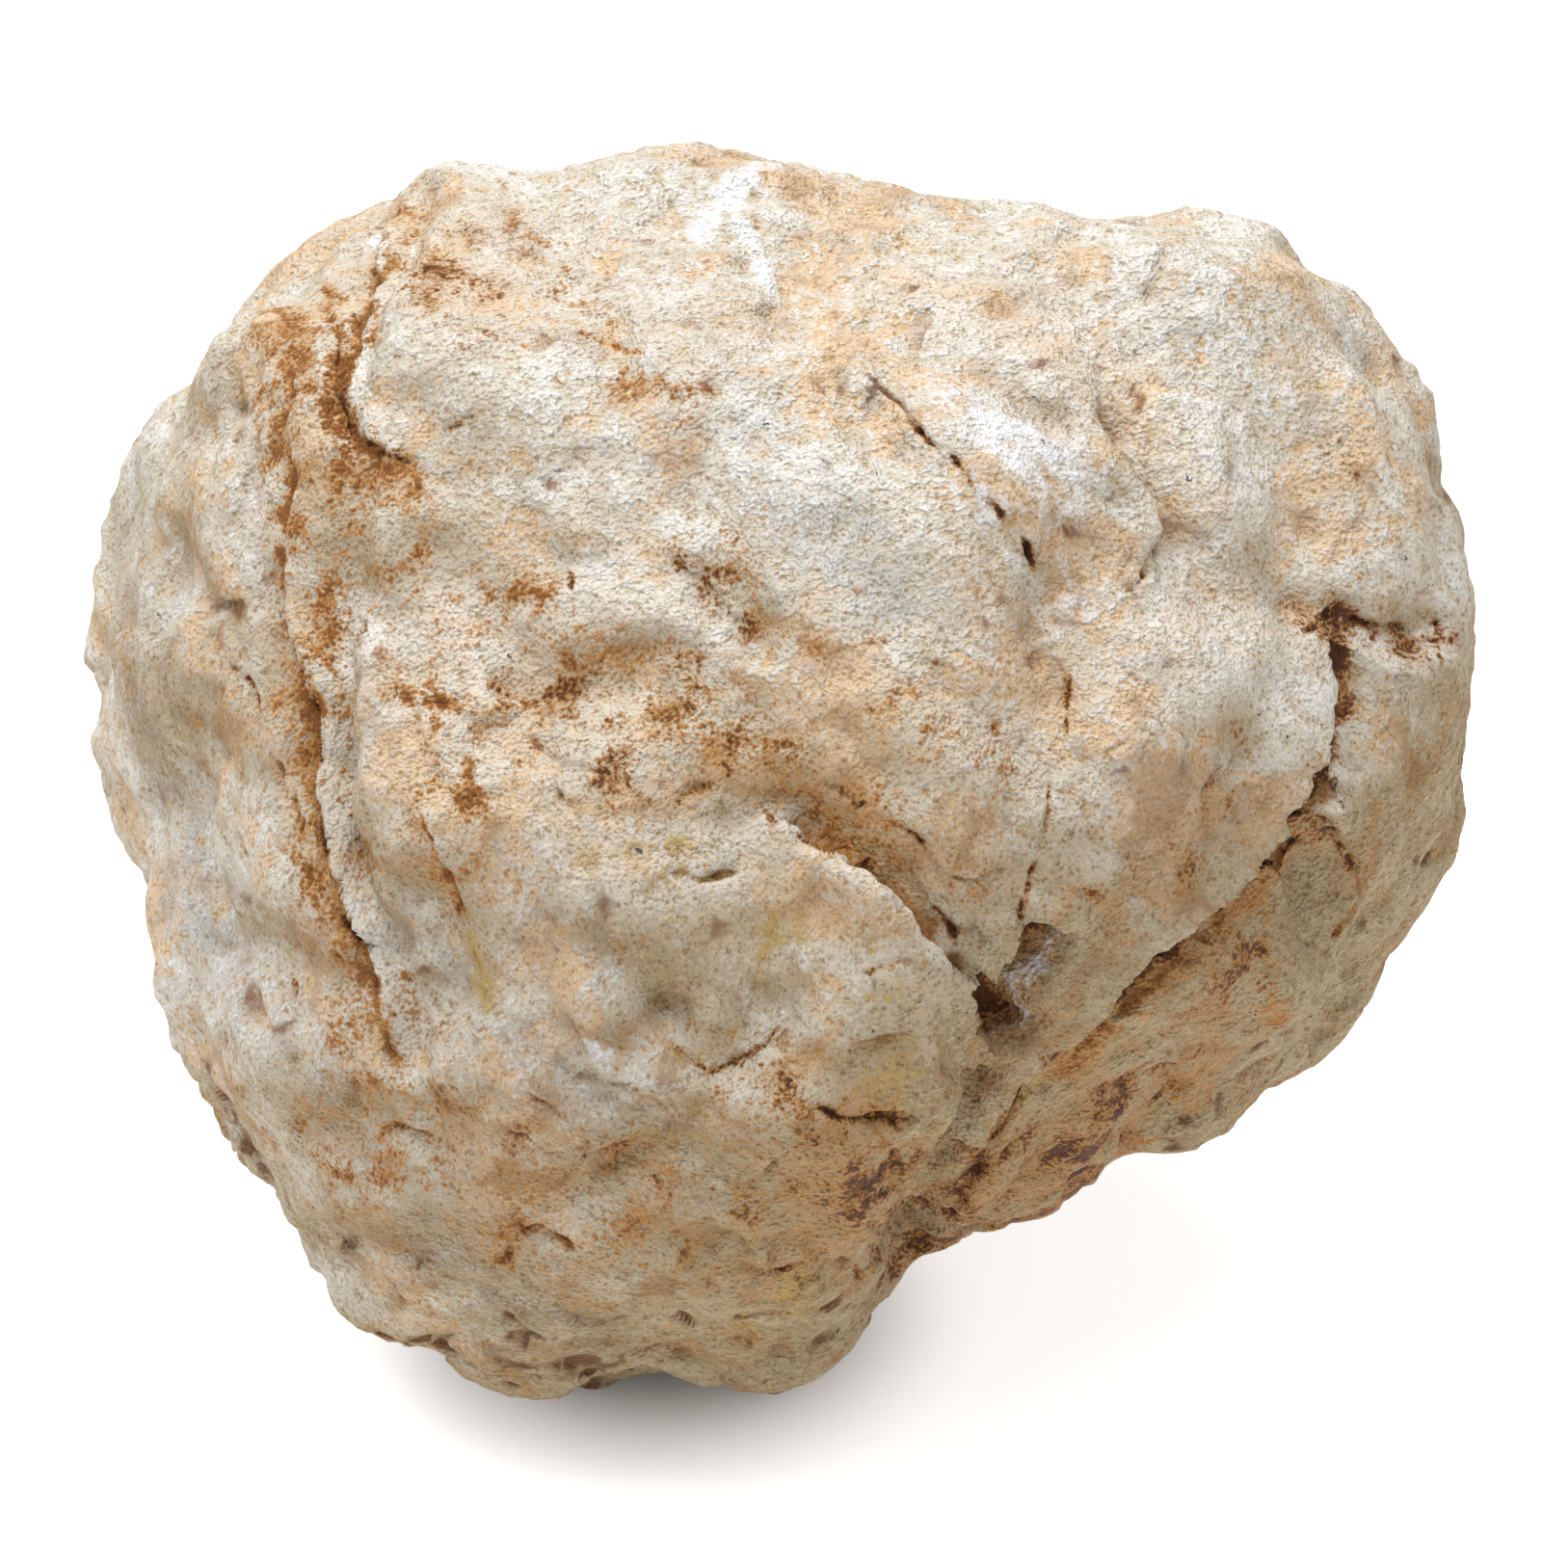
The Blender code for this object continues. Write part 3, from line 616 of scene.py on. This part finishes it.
OCHRE_STAINS = [
    (2.6, 0.3, [(600, 880), (720, 900), (800, 940)]),
    (2.2, 0.32, [(730, 1090), (790, 1130), (870, 1110)]),
    (2.6, 0.36, [(660, 960), (760, 960), (860, 980), (930, 1060), (900, 1180)]),
    (2.6, 0.34, [(720, 1180), (800, 1260), (900, 1300), (760, 1380)]),
    (1.4, 0.7, [(1230, 1000), (1190, 1050), (1120, 1120), (1060, 1160)]),
    (0.6, 0.8, [(488, 950), (500, 1000), (505, 1045)]),
    (0.7, 0.6, [(890, 880), (925, 885)]),
    (1.2, 0.45, [(850, 975), (885, 990), (860, 1010)]),
    (1.0, 0.6, [(1060, 1150), (1010, 1210), (985, 1240)]),
    (0.9, 0.55, [(815, 1205), (835, 1235)]),
    (1.0, 0.6, [(770, 1370), (800, 1390)]),
    (1.2, 0.4, [(640, 1290), (690, 1310), (760, 1320)]),
]
GREY_STAINS = [
    (2.6, 0.6, [(110, 480), (130, 600), (170, 720)]),
    (3.2, 0.6, [(300, 1080), (380, 1200), (480, 1320), (600, 1400)]),
    (3.0, 0.55, [(420, 980), (560, 1080), (700, 1180)]),
    (2.6, 0.55, [(760, 420), (830, 520), (900, 600), (960, 640)]),
    (2.2, 0.45, [(560, 900), (640, 1000), (700, 1040)]),
    (3.0, 0.75, [(150, 740), (195, 880), (250, 1020)]),
    (2.2, 0.35, [(520, 1130), (640, 1130), (760, 1160)]),
]
WHITE_STAINS = [
    (3.0, 0.42, [(1010, 480), (1060, 540), (1110, 620)]),
    (1.0, 0.75, [(785, 172), (752, 200), (716, 236)]),
    (0.7, 0.65, [(752, 218), (785, 255), (800, 305)]),
    (0.45, 0.8, [(385, 240), (400, 245)]),
    (0.45, 0.7, [(425, 258), (435, 264)]),
    (0.6, 0.7, [(260, 520), (268, 524)]),
    (0.5, 0.55, [(404, 335), (418, 342)]),
    (0.6, 0.55, [(828, 985), (838, 1000)]),
    (0.6, 0.55, [(860, 1035), (868, 1048)]),
    (0.8, 0.5, [(570, 880), (590, 905)]),
    (0.8, 0.5, [(1000, 670), (1025, 690)]),
    (0.6, 0.5, [(610, 1080), (640, 1092)]),
    (3.5, 0.6, [(1010, 430), (1080, 470)]),
]
RUST_STAINS = [
    (2.3, 0.54, [(300, 330), (300, 480), (310, 640), (330, 800), (360, 980), (400, 1090)]),
    (3.0, 0.27, [(380, 520), (450, 640), (470, 780), (450, 880)]),
    (2.8, 0.28, [(520, 640), (640, 700), (760, 760), (900, 850), (1000, 920)]),
    (2.4, 0.22, [(560, 230), (620, 340), (700, 420)]),
    (2.2, 0.22, [(760, 560), (860, 650), (950, 760), (1060, 800)]),
    (2.6, 0.36, [(340, 1180), (450, 1200), (560, 1290), (690, 1240)]),
    (1.4, 0.32, [(300, 380), (330, 450), (320, 540), (300, 640), (320, 720)]),
    (0.7, 0.7, [(355, 470), (345, 500), (335, 530), (355, 545)]),
    (0.55, 0.8, [(284, 560), (292, 590), (300, 640), (310, 665)]),
    (0.6, 0.75, [(375, 355), (345, 395), (335, 440), (342, 480)]),
    (1.3, 0.35, [(440, 205), (400, 290), (340, 340)]),
    (1.1, 0.85, [(1345, 905), (1310, 945), (1265, 985), (1215, 1025), (1175, 1075), (1125, 1120)]),
    (1.0, 0.75, [(422, 225), (395, 300), (372, 360)]),
    (0.6, 0.75, [(335, 300), (350, 350), (350, 420), (345, 490), (352, 550)]),
    (0.5, 0.7, [(298, 370), (294, 440), (300, 500), (290, 580), (290, 640)]),
    (0.6, 0.8, [(290, 640), (305, 680), (330, 712), (336, 760)]),
    (0.8, 0.7, [(322, 780), (316, 850), (330, 910), (352, 950), (378, 990)]),
    (1.0, 0.7, [(350, 1000), (385, 1020), (398, 1060), (410, 1110)]),
    (0.8, 0.8, [(380, 465), (402, 485), (430, 497)]),
    (0.6, 0.5, [(450, 265), (456, 283)]),
    (0.9, 0.75, [(535, 600), (556, 618)]),
    (0.7, 0.6, [(410, 715), (450, 728), (520, 740)]),
    (0.7, 0.7, [(450, 895), (468, 920), (478, 950)]),
    (0.6, 0.6, [(487, 785), (490, 830), (472, 858)]),
    (1.0, 0.45, [(740, 780), (800, 800), (850, 810)]),
    (0.5, 0.7, [(1004, 780), (1012, 790)]),
    (0.8, 0.6, [(1118, 925), (1160, 950), (1195, 955)]),
    (1.2, 0.5, [(1335, 915), (1285, 965), (1225, 1015), (1185, 1075), (1130, 1120)]),
    (1.0, 0.8, [(1195, 1010), (1211, 1024)]),
    (1.0, 0.7, [(1170, 1070), (1195, 1058)]),
    (0.9, 0.6, [(1322, 1045), (1320, 1062)]),
    (1.2, 0.6, [(1240, 1110), (1238, 1140)]),
    (1.1, 0.7, [(1155, 1200), (1172, 1182)]),
    (0.9, 0.65, [(515, 1300), (535, 1280), (565, 1268), (592, 1290)]),
    (0.8, 0.65, [(390, 1168), (430, 1166), (460, 1187)]),
    (0.9, 0.45, [(342, 1215), (384, 1219), (393, 1254)]),
    (0.9, 0.55, [(910, 1165), (930, 1200), (937, 1240)]),
]
STAINS = {
    "brown": BROWN_STAINS_AND_SHADE,
    "peach": PEACH_STAINS,
    "ochre": OCHRE_STAINS,
    "grey": GREY_STAINS,
    "white": WHITE_STAINS,
    "rust": RUST_STAINS,
}

# Dents, and knobs where the height is above zero: place, radius and height.
DENTS = [
    ((581, 822), 0.28, -0.7),
    ((1347, 848), 0.6, -0.9),
    ((650, 1200), 1.3, -0.5),
    ((850, 360), 1.6, 0.2),
    ((787, 452), 1.0, -0.3),
    ((740, 405), 0.9, -0.3),
    ((1382, 722), 0.5, -0.4),
    ((640, 1135), 1.6, -0.4),
    ((990, 1145), 1.4, 0.3),
    ((430, 440), 0.35, -0.3),
]

# The gap in the rind: its sharp rim runs from the top down its left side, and its floor rises to
# the right.
POCKET_RIM = [
    (1072, 950), (1056, 974), (1030, 994), (1003, 998), (1004, 1020), (1008, 1042), (1020, 1064),
    (1028, 1090)
]
POCKET_MIDDLE = (1035, 1031)
POCKET_DEPTH = 3.0
POCKET_WALL = 0.30  # how far from the rim the floor lies
POCKET_RISE = (1.2, 4.0)  # how far from the rim the floor starts to rise, and where it is gone

# Where the stone's own shape is smoothed over, and how far round.
SMOOTHING_ROUNDS = 300
SMOOTHED = [
    (POCKET_MIDDLE, 5.2),
    ((1125, 1025), 3.0),
    ((1165, 985), 3.4),
    ((1205, 940), 3.6),
    ((1240, 895), 3.6),
    ((1272, 850), 3.6),
    ((1305, 815), 3.4),
    ((1345, 760), 3.0),
    ((1352, 700), 3.0),
]


def smooth_over(points, triangles):
    """Smooths away the stone's own pocket and lip, so that sharp ones can be cut there."""
    edges, _ = edge_table(triangles)
    a, b = edges.T
    count = np.bincount(edges.ravel(), minlength=len(points))[:, None]
    free = np.zeros(len(points), bool)
    for place, reach in SMOOTHED:
        free |= np.linalg.norm(points - on_stone(place), axis=1) < reach
    for _ in range(SMOOTHING_ROUNDS):
        total = np.zeros_like(points)
        np.add.at(total, a, points[b])
        np.add.at(total, b, points[a])
        points = np.where(free[:, None], total / count, points)
    return points


def pocket(points, rim):
    """The pocket's height, and how far each point is inside it."""
    heights, inside = np.zeros(len(points)), np.zeros(len(points))
    near = within(points, rim, POCKET_RISE[1])
    distance, side, run_to_end = measure_path(points[near], rim)
    share = np.where(side > 0, softened(distance, 0.0, POCKET_WALL), 0.0)
    share *= 1.0 - softened(distance, *POCKET_RISE)
    share *= softened(run_to_end, 0.0, 1.2)
    heights[near] = -POCKET_DEPTH * share
    inside[near] = share
    return heights, inside


# --- Colours and materials ---
def srgb(red, green, blue):
    shares = [c / 255.0 for c in (red, green, blue)]
    linear = [c / 12.92 if c <= 0.04045 else ((c + 0.055) / 1.055) ** 2.4 for c in shares]
    return (*linear, 1.0)


STONE = srgb(193, 185, 170)
PALE = srgb(206, 202, 194)
COOL_GREY = srgb(170, 169, 165)
PEACH = srgb(203, 175, 142)
TAN = srgb(154, 122, 84)
SHADE = srgb(112, 82, 52)
RUST = srgb(172, 119, 54)
DEEP_RUST = srgb(114, 66, 24)
BROWN = srgb(66, 36, 18)
OCHRE = srgb(166, 138, 78)
WHITE = srgb(222, 223, 227)
SPECK = srgb(34, 32, 30)
UNDER_SHADE_TINT = (0.55, 0.44, 0.28, 1.0)  # what the under side's colours are multiplied by: brown and painted shade

# Sizes in the rind's patterns.
MOTTLE = 0.9
GRAIN = 0.26
FLAKE = 2.6
RELIEF = 0.50  # how deep the finest relief is, which the mesh doesn't carry


class Nodes:
    """Adds nodes to a material, with lengths in millimetres."""

    def __init__(self, material):
        material.use_nodes = True
        self.tree = material.node_tree
        self.shader = self.tree.nodes["Principled BSDF"]
        self.place = self.add("TexCoord").outputs["Object"]

    def add(self, kind, **settings):
        node = self.tree.nodes.new("ShaderNode" + kind)
        for name, value in settings.items():
            setattr(node, name, value)
        return node

    def plug(self, socket, value):
        if isinstance(value, bpy.types.NodeSocket):
            self.tree.links.new(value, socket)
        else:
            socket.default_value = value

    def moved(self, millimetres):
        node = self.add("VectorMath", operation="ADD")
        self.plug(node.inputs[0], self.place)
        node.inputs[1].default_value = [m * MM for m in millimetres]
        return node.outputs[0]

    def noise(self, size, detail, rough=0.55, place=None):
        node = self.add("TexNoise")
        self.plug(node.inputs["Vector"], place or self.place)
        node.inputs["Scale"].default_value = 1.0 / (size * MM)
        node.inputs["Detail"].default_value = detail
        node.inputs["Roughness"].default_value = rough
        return node.outputs["Fac"]

    def cells(self, size, place):
        """Cells of the given size: the distance from a cell's middle, and a value of its own."""
        node = self.add("TexVoronoi")
        self.plug(node.inputs["Vector"], place)
        node.inputs["Scale"].default_value = 1.0 / (size * MM)
        return node.outputs["Distance"], node.outputs["Color"]

    def pushed(self, place, value, millimetres):
        """The place, moved by the value times the millimetres."""
        node = self.add("VectorMath", operation="MULTIPLY_ADD")
        self.plug(node.inputs[0], value)
        node.inputs[1].default_value = [m * MM for m in millimetres]
        self.plug(node.inputs[2], place)
        return node.outputs[0]

    def attribute(self, name):
        return self.add("Attribute", attribute_name=name).outputs["Fac"]

    def times(self, a, b):
        node = self.add("Math", operation="MULTIPLY")
        self.plug(node.inputs[0], a)
        self.plug(node.inputs[1], b)
        return node.outputs[0]

    def spread(self, value, low, high, to_low=0.0, to_high=1.0):
        node = self.add("MapRange", interpolation_type="SMOOTHSTEP")
        for name, v in (("Value", value), ("From Min", low), ("From Max", high),
                        ("To Min", to_low), ("To Max", to_high)):
            self.plug(node.inputs[name], v)
        return node.outputs["Result"]

    def sum(self, *terms):
        """Adds values, each times its own share."""
        total = 0.0
        for value, share in terms:
            node = self.add("Math", operation="MULTIPLY_ADD")
            for socket, entry in zip(node.inputs, (value, share, total)):
                self.plug(socket, entry)
            total = node.outputs[0]
        return total

    def mix(self, share, a, b, blend="MIX"):
        node = self.add("Mix", data_type="RGBA", blend_type=blend)
        self.plug(node.inputs[0], share)
        self.plug(node.inputs[6], a)
        self.plug(node.inputs[7], b)
        return node.outputs[2]

    def blend(self, base, tint, value, low, high, most):
        """The base, with more and more of the tint as the value goes from low to high."""
        return self.mix(self.spread(value, low, high, 0.0, most), base, tint)


# How the rust and the other stains are laid on: the stain, its tint, the values between which it
# starts and is full, and the most that it covers.
POWDERS = [
    ("ochre", OCHRE, 1.95, 2.60, 0.85),
    ("rust", TAN, 1.80, 2.25, 0.60),
    ("rust", RUST, 1.92, 2.44, 0.92),
    ("rust", DEEP_RUST, 2.14, 2.72, 0.90),
    ("brown", TAN, 1.75, 2.40, 0.80),
    ("brown", RUST, 1.90, 2.55, 0.80),
    ("brown", DEEP_RUST, 2.05, 2.70, 0.90),
    ("brown", BROWN, 2.25, 2.90, 0.92),
]


class RindNodes(Nodes):
    """The rind's own patterns, and the colours that are laid on one after another with them."""

    def __init__(self, material):
        super().__init__(material)
        self.mottle = self.noise(MOTTLE, detail=2.0, rough=0.75)
        self.grain = self.noise(GRAIN, detail=1.0, rough=0.6, place=self.moved((0, 0, 40)))
        self.flecks = self.sum((self.grain, 0.6), (self.mottle, 0.4))
        self.broad, self.patch = self.attribute("broad"), self.attribute("patch")
        self.deep = self.attribute("deep")

        # Flakes with crooked edges, each with its own tone and level.
        crooked = self.pushed(self.place, self.mottle, (2.5, -1.8, 2.0))
        crooked = self.pushed(crooked, self.grain, (-0.35, 0.5, 0.4))
        self.from_middle, self.flake = self.cells(FLAKE, crooked)
        self.border = self.spread(self.from_middle, 0.50, 0.80)

    def bare(self):
        """Calcite: pale and peach flakes, with grey, white and tan in places."""
        mottle, grain, patch, flecks = self.mottle, self.grain, self.patch, self.flecks
        tone = self.sum((self.broad, 0.45), (patch, 0.5), (mottle, 0.9), (grain, 0.5), (self.flake, 0.6))
        colour = self.blend(STONE, PALE, tone, 1.00, 1.40, 1.0)
        colour = self.blend(colour, PEACH, tone, 0.96, 0.62, 0.9)
        patchy = self.sum((self.attribute("peach"), 1.0), (mottle, 1.4), (patch, 0.3))
        colour = self.blend(colour, PEACH, patchy, 0.90, 1.6, 0.85)
        patchy = self.sum((self.attribute("grey"), 1.0), (mottle, 1.4), (patch, -0.4))
        colour = self.blend(colour, COOL_GREY, patchy, 0.85, 1.6, 0.75)
        colour = self.blend(colour, WHITE, flecks, 0.51, 0.63, 0.60)
        colour = self.blend(colour, TAN, flecks, 0.45, 0.34, 0.75)
        yellowed = self.sum((grain, 1.0), (mottle, -1.0), (patch, 0.15))
        return self.blend(colour, OCHRE, yellowed, 0.16, 0.34, 0.55)

    def weathered(self, colour):
        """Paler where the rind stands out, with tan and painted shade in the hollows, and browner with
        painted shade on the under side.
        """
        mottle, grain, flecks, deep = self.mottle, self.grain, self.flecks, self.deep
        # Painted shade: tan and dark brown laid into the hollows, by how deep the rind lies; paler where
        # it stands out.
        colour = self.blend(colour, PALE, self.sum((deep, -1.0), (flecks, 1.6)), 1.05, 2.0, 0.35)
        colour = self.blend(colour, TAN, self.sum((deep, 1.0), (flecks, 1.8)), 1.15, 1.9, 0.70)
        colour = self.blend(colour, SHADE, self.sum((deep, 1.0), (flecks, 1.6)), 1.60, 2.4, 0.70)
        # Dark rust in the creases and hollows: partly rust, partly painted shade.
        rust_and_shade_in_creases = self.sum((self.attribute("crease"), 1.0), (flecks, 1.0), (deep, 0.5))
        colour = self.blend(colour, DEEP_RUST, rust_and_shade_in_creases, 0.80, 1.5, 0.8)
        rusty = self.sum(
            (self.border, 0.7), (mottle, 1.8), (self.patch, -0.5), (self.broad, -0.5), (grain, 0.8)
        )
        colour = self.blend(colour, TAN, rusty, 1.75, 2.50, 0.55)
        # The under side's brown and painted shade.
        browner_and_shaded = self.mix(1.0, colour, UNDER_SHADE_TINT, "MULTIPLY")
        return self.mix(self.attribute("under"), colour, browner_and_shaded)

    def bruised(self, colour):
        bruise = self.sum((self.attribute("white"), 1.0), (self.mottle, 0.9), (self.patch, 0.15))
        return self.blend(colour, WHITE, bruise, 0.70, 1.25, 0.85)

    def powdered(self, colour):
        """Rust gathers as powder, most of it in the hollows and along the flakes' edges."""
        powder = self.sum(
            (self.grain, 1.8), (self.mottle, 1.8), (self.patch, 0.30), (self.border, 0.40),
            (self.deep, 0.40), (0.23, -1.0)
        )
        for name, tint, low, high, most in POWDERS:
            strength = self.attribute(name)
            share = self.times(self.spread(strength, 0.03, 0.25), most)
            value = self.sum((strength, 1.0), (powder, 1.0))
            colour = self.blend(colour, tint, value, low, high, share)
        return colour

    def dotted(self, colour):
        """A rust dot in some flakes, and a dark speck in others."""
        chosen = self.times(self.spread(self.flake, 0.50, 0.48), self.spread(self.patch, -0.1, 0.3))
        dot = self.times(self.spread(self.from_middle, 0.12, 0.05), chosen)
        colour = self.mix(dot, colour, RUST)
        chosen = self.times(self.spread(self.flake, 0.50, 0.52), self.spread(self.broad, -0.2, 0.1))
        speck = self.times(self.spread(self.from_middle, 0.085, 0.050), chosen)
        return self.mix(self.times(speck, 0.85), colour, SPECK)

    def relief(self):
        """The normal of the finest relief: each flake's level, the mottle and the grain."""
        bumpy = self.add("Bump")
        bumpy.inputs["Distance"].default_value = RELIEF * MM
        bumpy.inputs["Strength"].default_value = 1.0
        height = self.sum((self.flake, 0.60), (self.mottle, 1.25), (self.grain, 0.5))
        self.plug(bumpy.inputs["Height"], height)
        return bumpy.outputs["Normal"]


def rind_material():
    material = bpy.data.materials.new("weathered_rind")
    n = RindNodes(material)
    colour = n.dotted(n.powdered(n.bruised(n.weathered(n.bare()))))
    n.plug(n.shader.inputs["Base Color"], colour)
    n.plug(n.shader.inputs["Roughness"], n.spread(n.flecks, 0.35, 0.65, 0.90, 0.65))
    n.shader.inputs["Specular IOR Level"].default_value = 0.3
    n.plug(n.shader.inputs["Normal"], n.relief())
    return material


# The floor: where the stone stands on it, how far from there the painted shadow in the card's glow starts
# and stops fading, and how strongly the card glows as painted light there and further out.
FOOT = (-7.0, -7.0)
FOOT_PAINTED_SHADOW = (6.0, 20.0)
CARD_PAINTED_GLOW = (0.05, 0.75)
CARD_TINTS = (srgb(208, 208, 208), srgb(212, 212, 212))


def floor_material():
    """A pale card that glows as painted light, except near where the stone stands on it, which leaves a
    painted shadow there.
    """
    material = bpy.data.materials.new("white_card")
    n = Nodes(material)
    tint = n.spread(n.noise(60.0, detail=0.0), 0.3, 0.7)
    n.plug(n.shader.inputs["Base Color"], n.mix(tint, *CARD_TINTS))
    n.shader.inputs["Roughness"].default_value = 0.9
    n.shader.inputs["Emission Color"].default_value = (1.0, 1.0, 1.0, 1.0)
    from_foot = n.add("VectorMath", operation="LENGTH")
    n.plug(from_foot.inputs[0], n.moved((-FOOT[0], -FOOT[1], 0.0)))
    near, far = (reach * MM for reach in FOOT_PAINTED_SHADOW)
    # Painted light: the card's glow, weakest near the foot, where it paints the stone's contact shadow.
    painted_glow = n.spread(from_foot.outputs["Value"], near, far, *CARD_PAINTED_GLOW)
    n.plug(n.shader.inputs["Emission Strength"], painted_glow)
    return material


# --- Making the pieces ---
CREVICE_ROUNDS = (12, 80)  # over how many rings of points fine and coarse crevices are found


def new_object(name, data):
    thing = bpy.data.objects.new(name, data)
    bpy.context.scene.collection.objects.link(thing)
    return thing


def make_rind():
    points, triangles = stone_mesh()
    points = smooth_over(points, triangles)
    points, triangles = grow_evenly(points, triangles)
    points, triangles = grow_at_breaks(points, triangles)
    normals = point_normals(points, triangles)
    heights, stains = rind(points, normals)
    # How deep each point lies, which lays painted shade and rust into the hollows.
    fine, coarse = (crevices(heights, triangles, rounds) for rounds in CREVICE_ROUNDS)
    stains["deep"] = np.clip(2.2 * fine + 1.1 * coarse, -1.0, 1.5)
    stains["broad"] = cloud(points, 9.0, 2)
    stains["patch"] = cloud(points + 40.0, 3.2)
    points = points + normals * heights[:, None]
    points[:, 2] = np.maximum(points[:, 2], 0.0)

    mesh = bpy.data.meshes.new("geode_rind")
    mesh.vertices.add(len(points))
    mesh.vertices.foreach_set("co", (points * MM).ravel())
    mesh.loops.add(triangles.size)
    mesh.loops.foreach_set("vertex_index", triangles.ravel())
    mesh.polygons.add(len(triangles))
    mesh.polygons.foreach_set("loop_start", np.arange(len(triangles)) * 3)
    mesh.update(calc_edges=True)
    mesh.validate()
    mesh.shade_smooth()
    for name, strength in stains.items():
        layer = mesh.attributes.new(name, "FLOAT", "POINT")
        layer.data.foreach_set("value", strength)
    mesh.materials.append(rind_material())
    stone = new_object("geode_rind", mesh)
    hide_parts("geode")
    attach(stone, "root")


def make_floor():
    mesh = bpy.data.meshes.new("floor")
    half = 1.5  # metres
    corners = [(-half, -half, 0), (half, -half, 0), (half, half, 0), (-half, half, 0)]
    mesh.from_pydata(corners, [], [(0, 1, 2, 3)])
    mesh.materials.append(floor_material())
    new_object("floor", mesh)


def aim(thing, place, target):
    thing.location = place
    thing.rotation_mode = "QUATERNION"
    thing.rotation_quaternion = (Vector(target) - Vector(place)).to_track_quat("-Z", "Y")


def make_lights():
    world = bpy.data.worlds.new("studio")
    world.use_nodes = True
    background = world.node_tree.nodes["Background"]
    background.inputs["Color"].default_value = (0.97, 0.985, 1.0, 1.0)
    background.inputs["Strength"].default_value = 0.50
    bpy.context.scene.world = world

    lamp = bpy.data.lights.new("overhead", "AREA")
    lamp.shape = "DISK"
    lamp.size = 1.15
    lamp.energy = 12.0
    lamp.color = (1.0, 0.99, 0.97)
    aim(new_object("overhead", lamp), (-0.12, 0.08, 0.80), Vector(CENTRE) * MM)


def make_camera():
    camera_data = bpy.data.cameras.new("camera")
    camera_data.sensor_width = 36.0
    camera_data.lens = camera_data.sensor_width * EYE_DISTANCE / (FRAME_PIXELS * PIXEL)
    camera_data.clip_start = 0.01
    camera = new_object("camera", camera_data)
    aim(camera, Vector(EYE) * MM, Vector(CENTRE) * MM)
    bpy.context.scene.camera = camera


stone_points, stone_triangles = stone_mesh()
tree = BVHTree.FromPolygons([Vector(p) for p in stone_points], stone_triangles.tolist())
traced_seams = [
    (path_on_stone(path), half_width, depth, rise, kind, stain)
    for half_width, depth, rise, kind, stain, path in SEAMS
]
traced_ledges = [(path_on_stone(path), *sizes) for *sizes, path in LEDGES]
traced_stains = [
    (path_on_stone(path), half_width, kind, stain)
    for kind, stains in STAINS.items()
    for half_width, stain, path in stains
]
traced_dents = [(on_stone(place), radius, height) for place, radius, height in DENTS]
pocket_rim = path_on_stone(POCKET_RIM)

make_rind()
make_floor()
make_lights()
make_camera()
bpy.context.scene.view_settings.view_transform = "Standard"
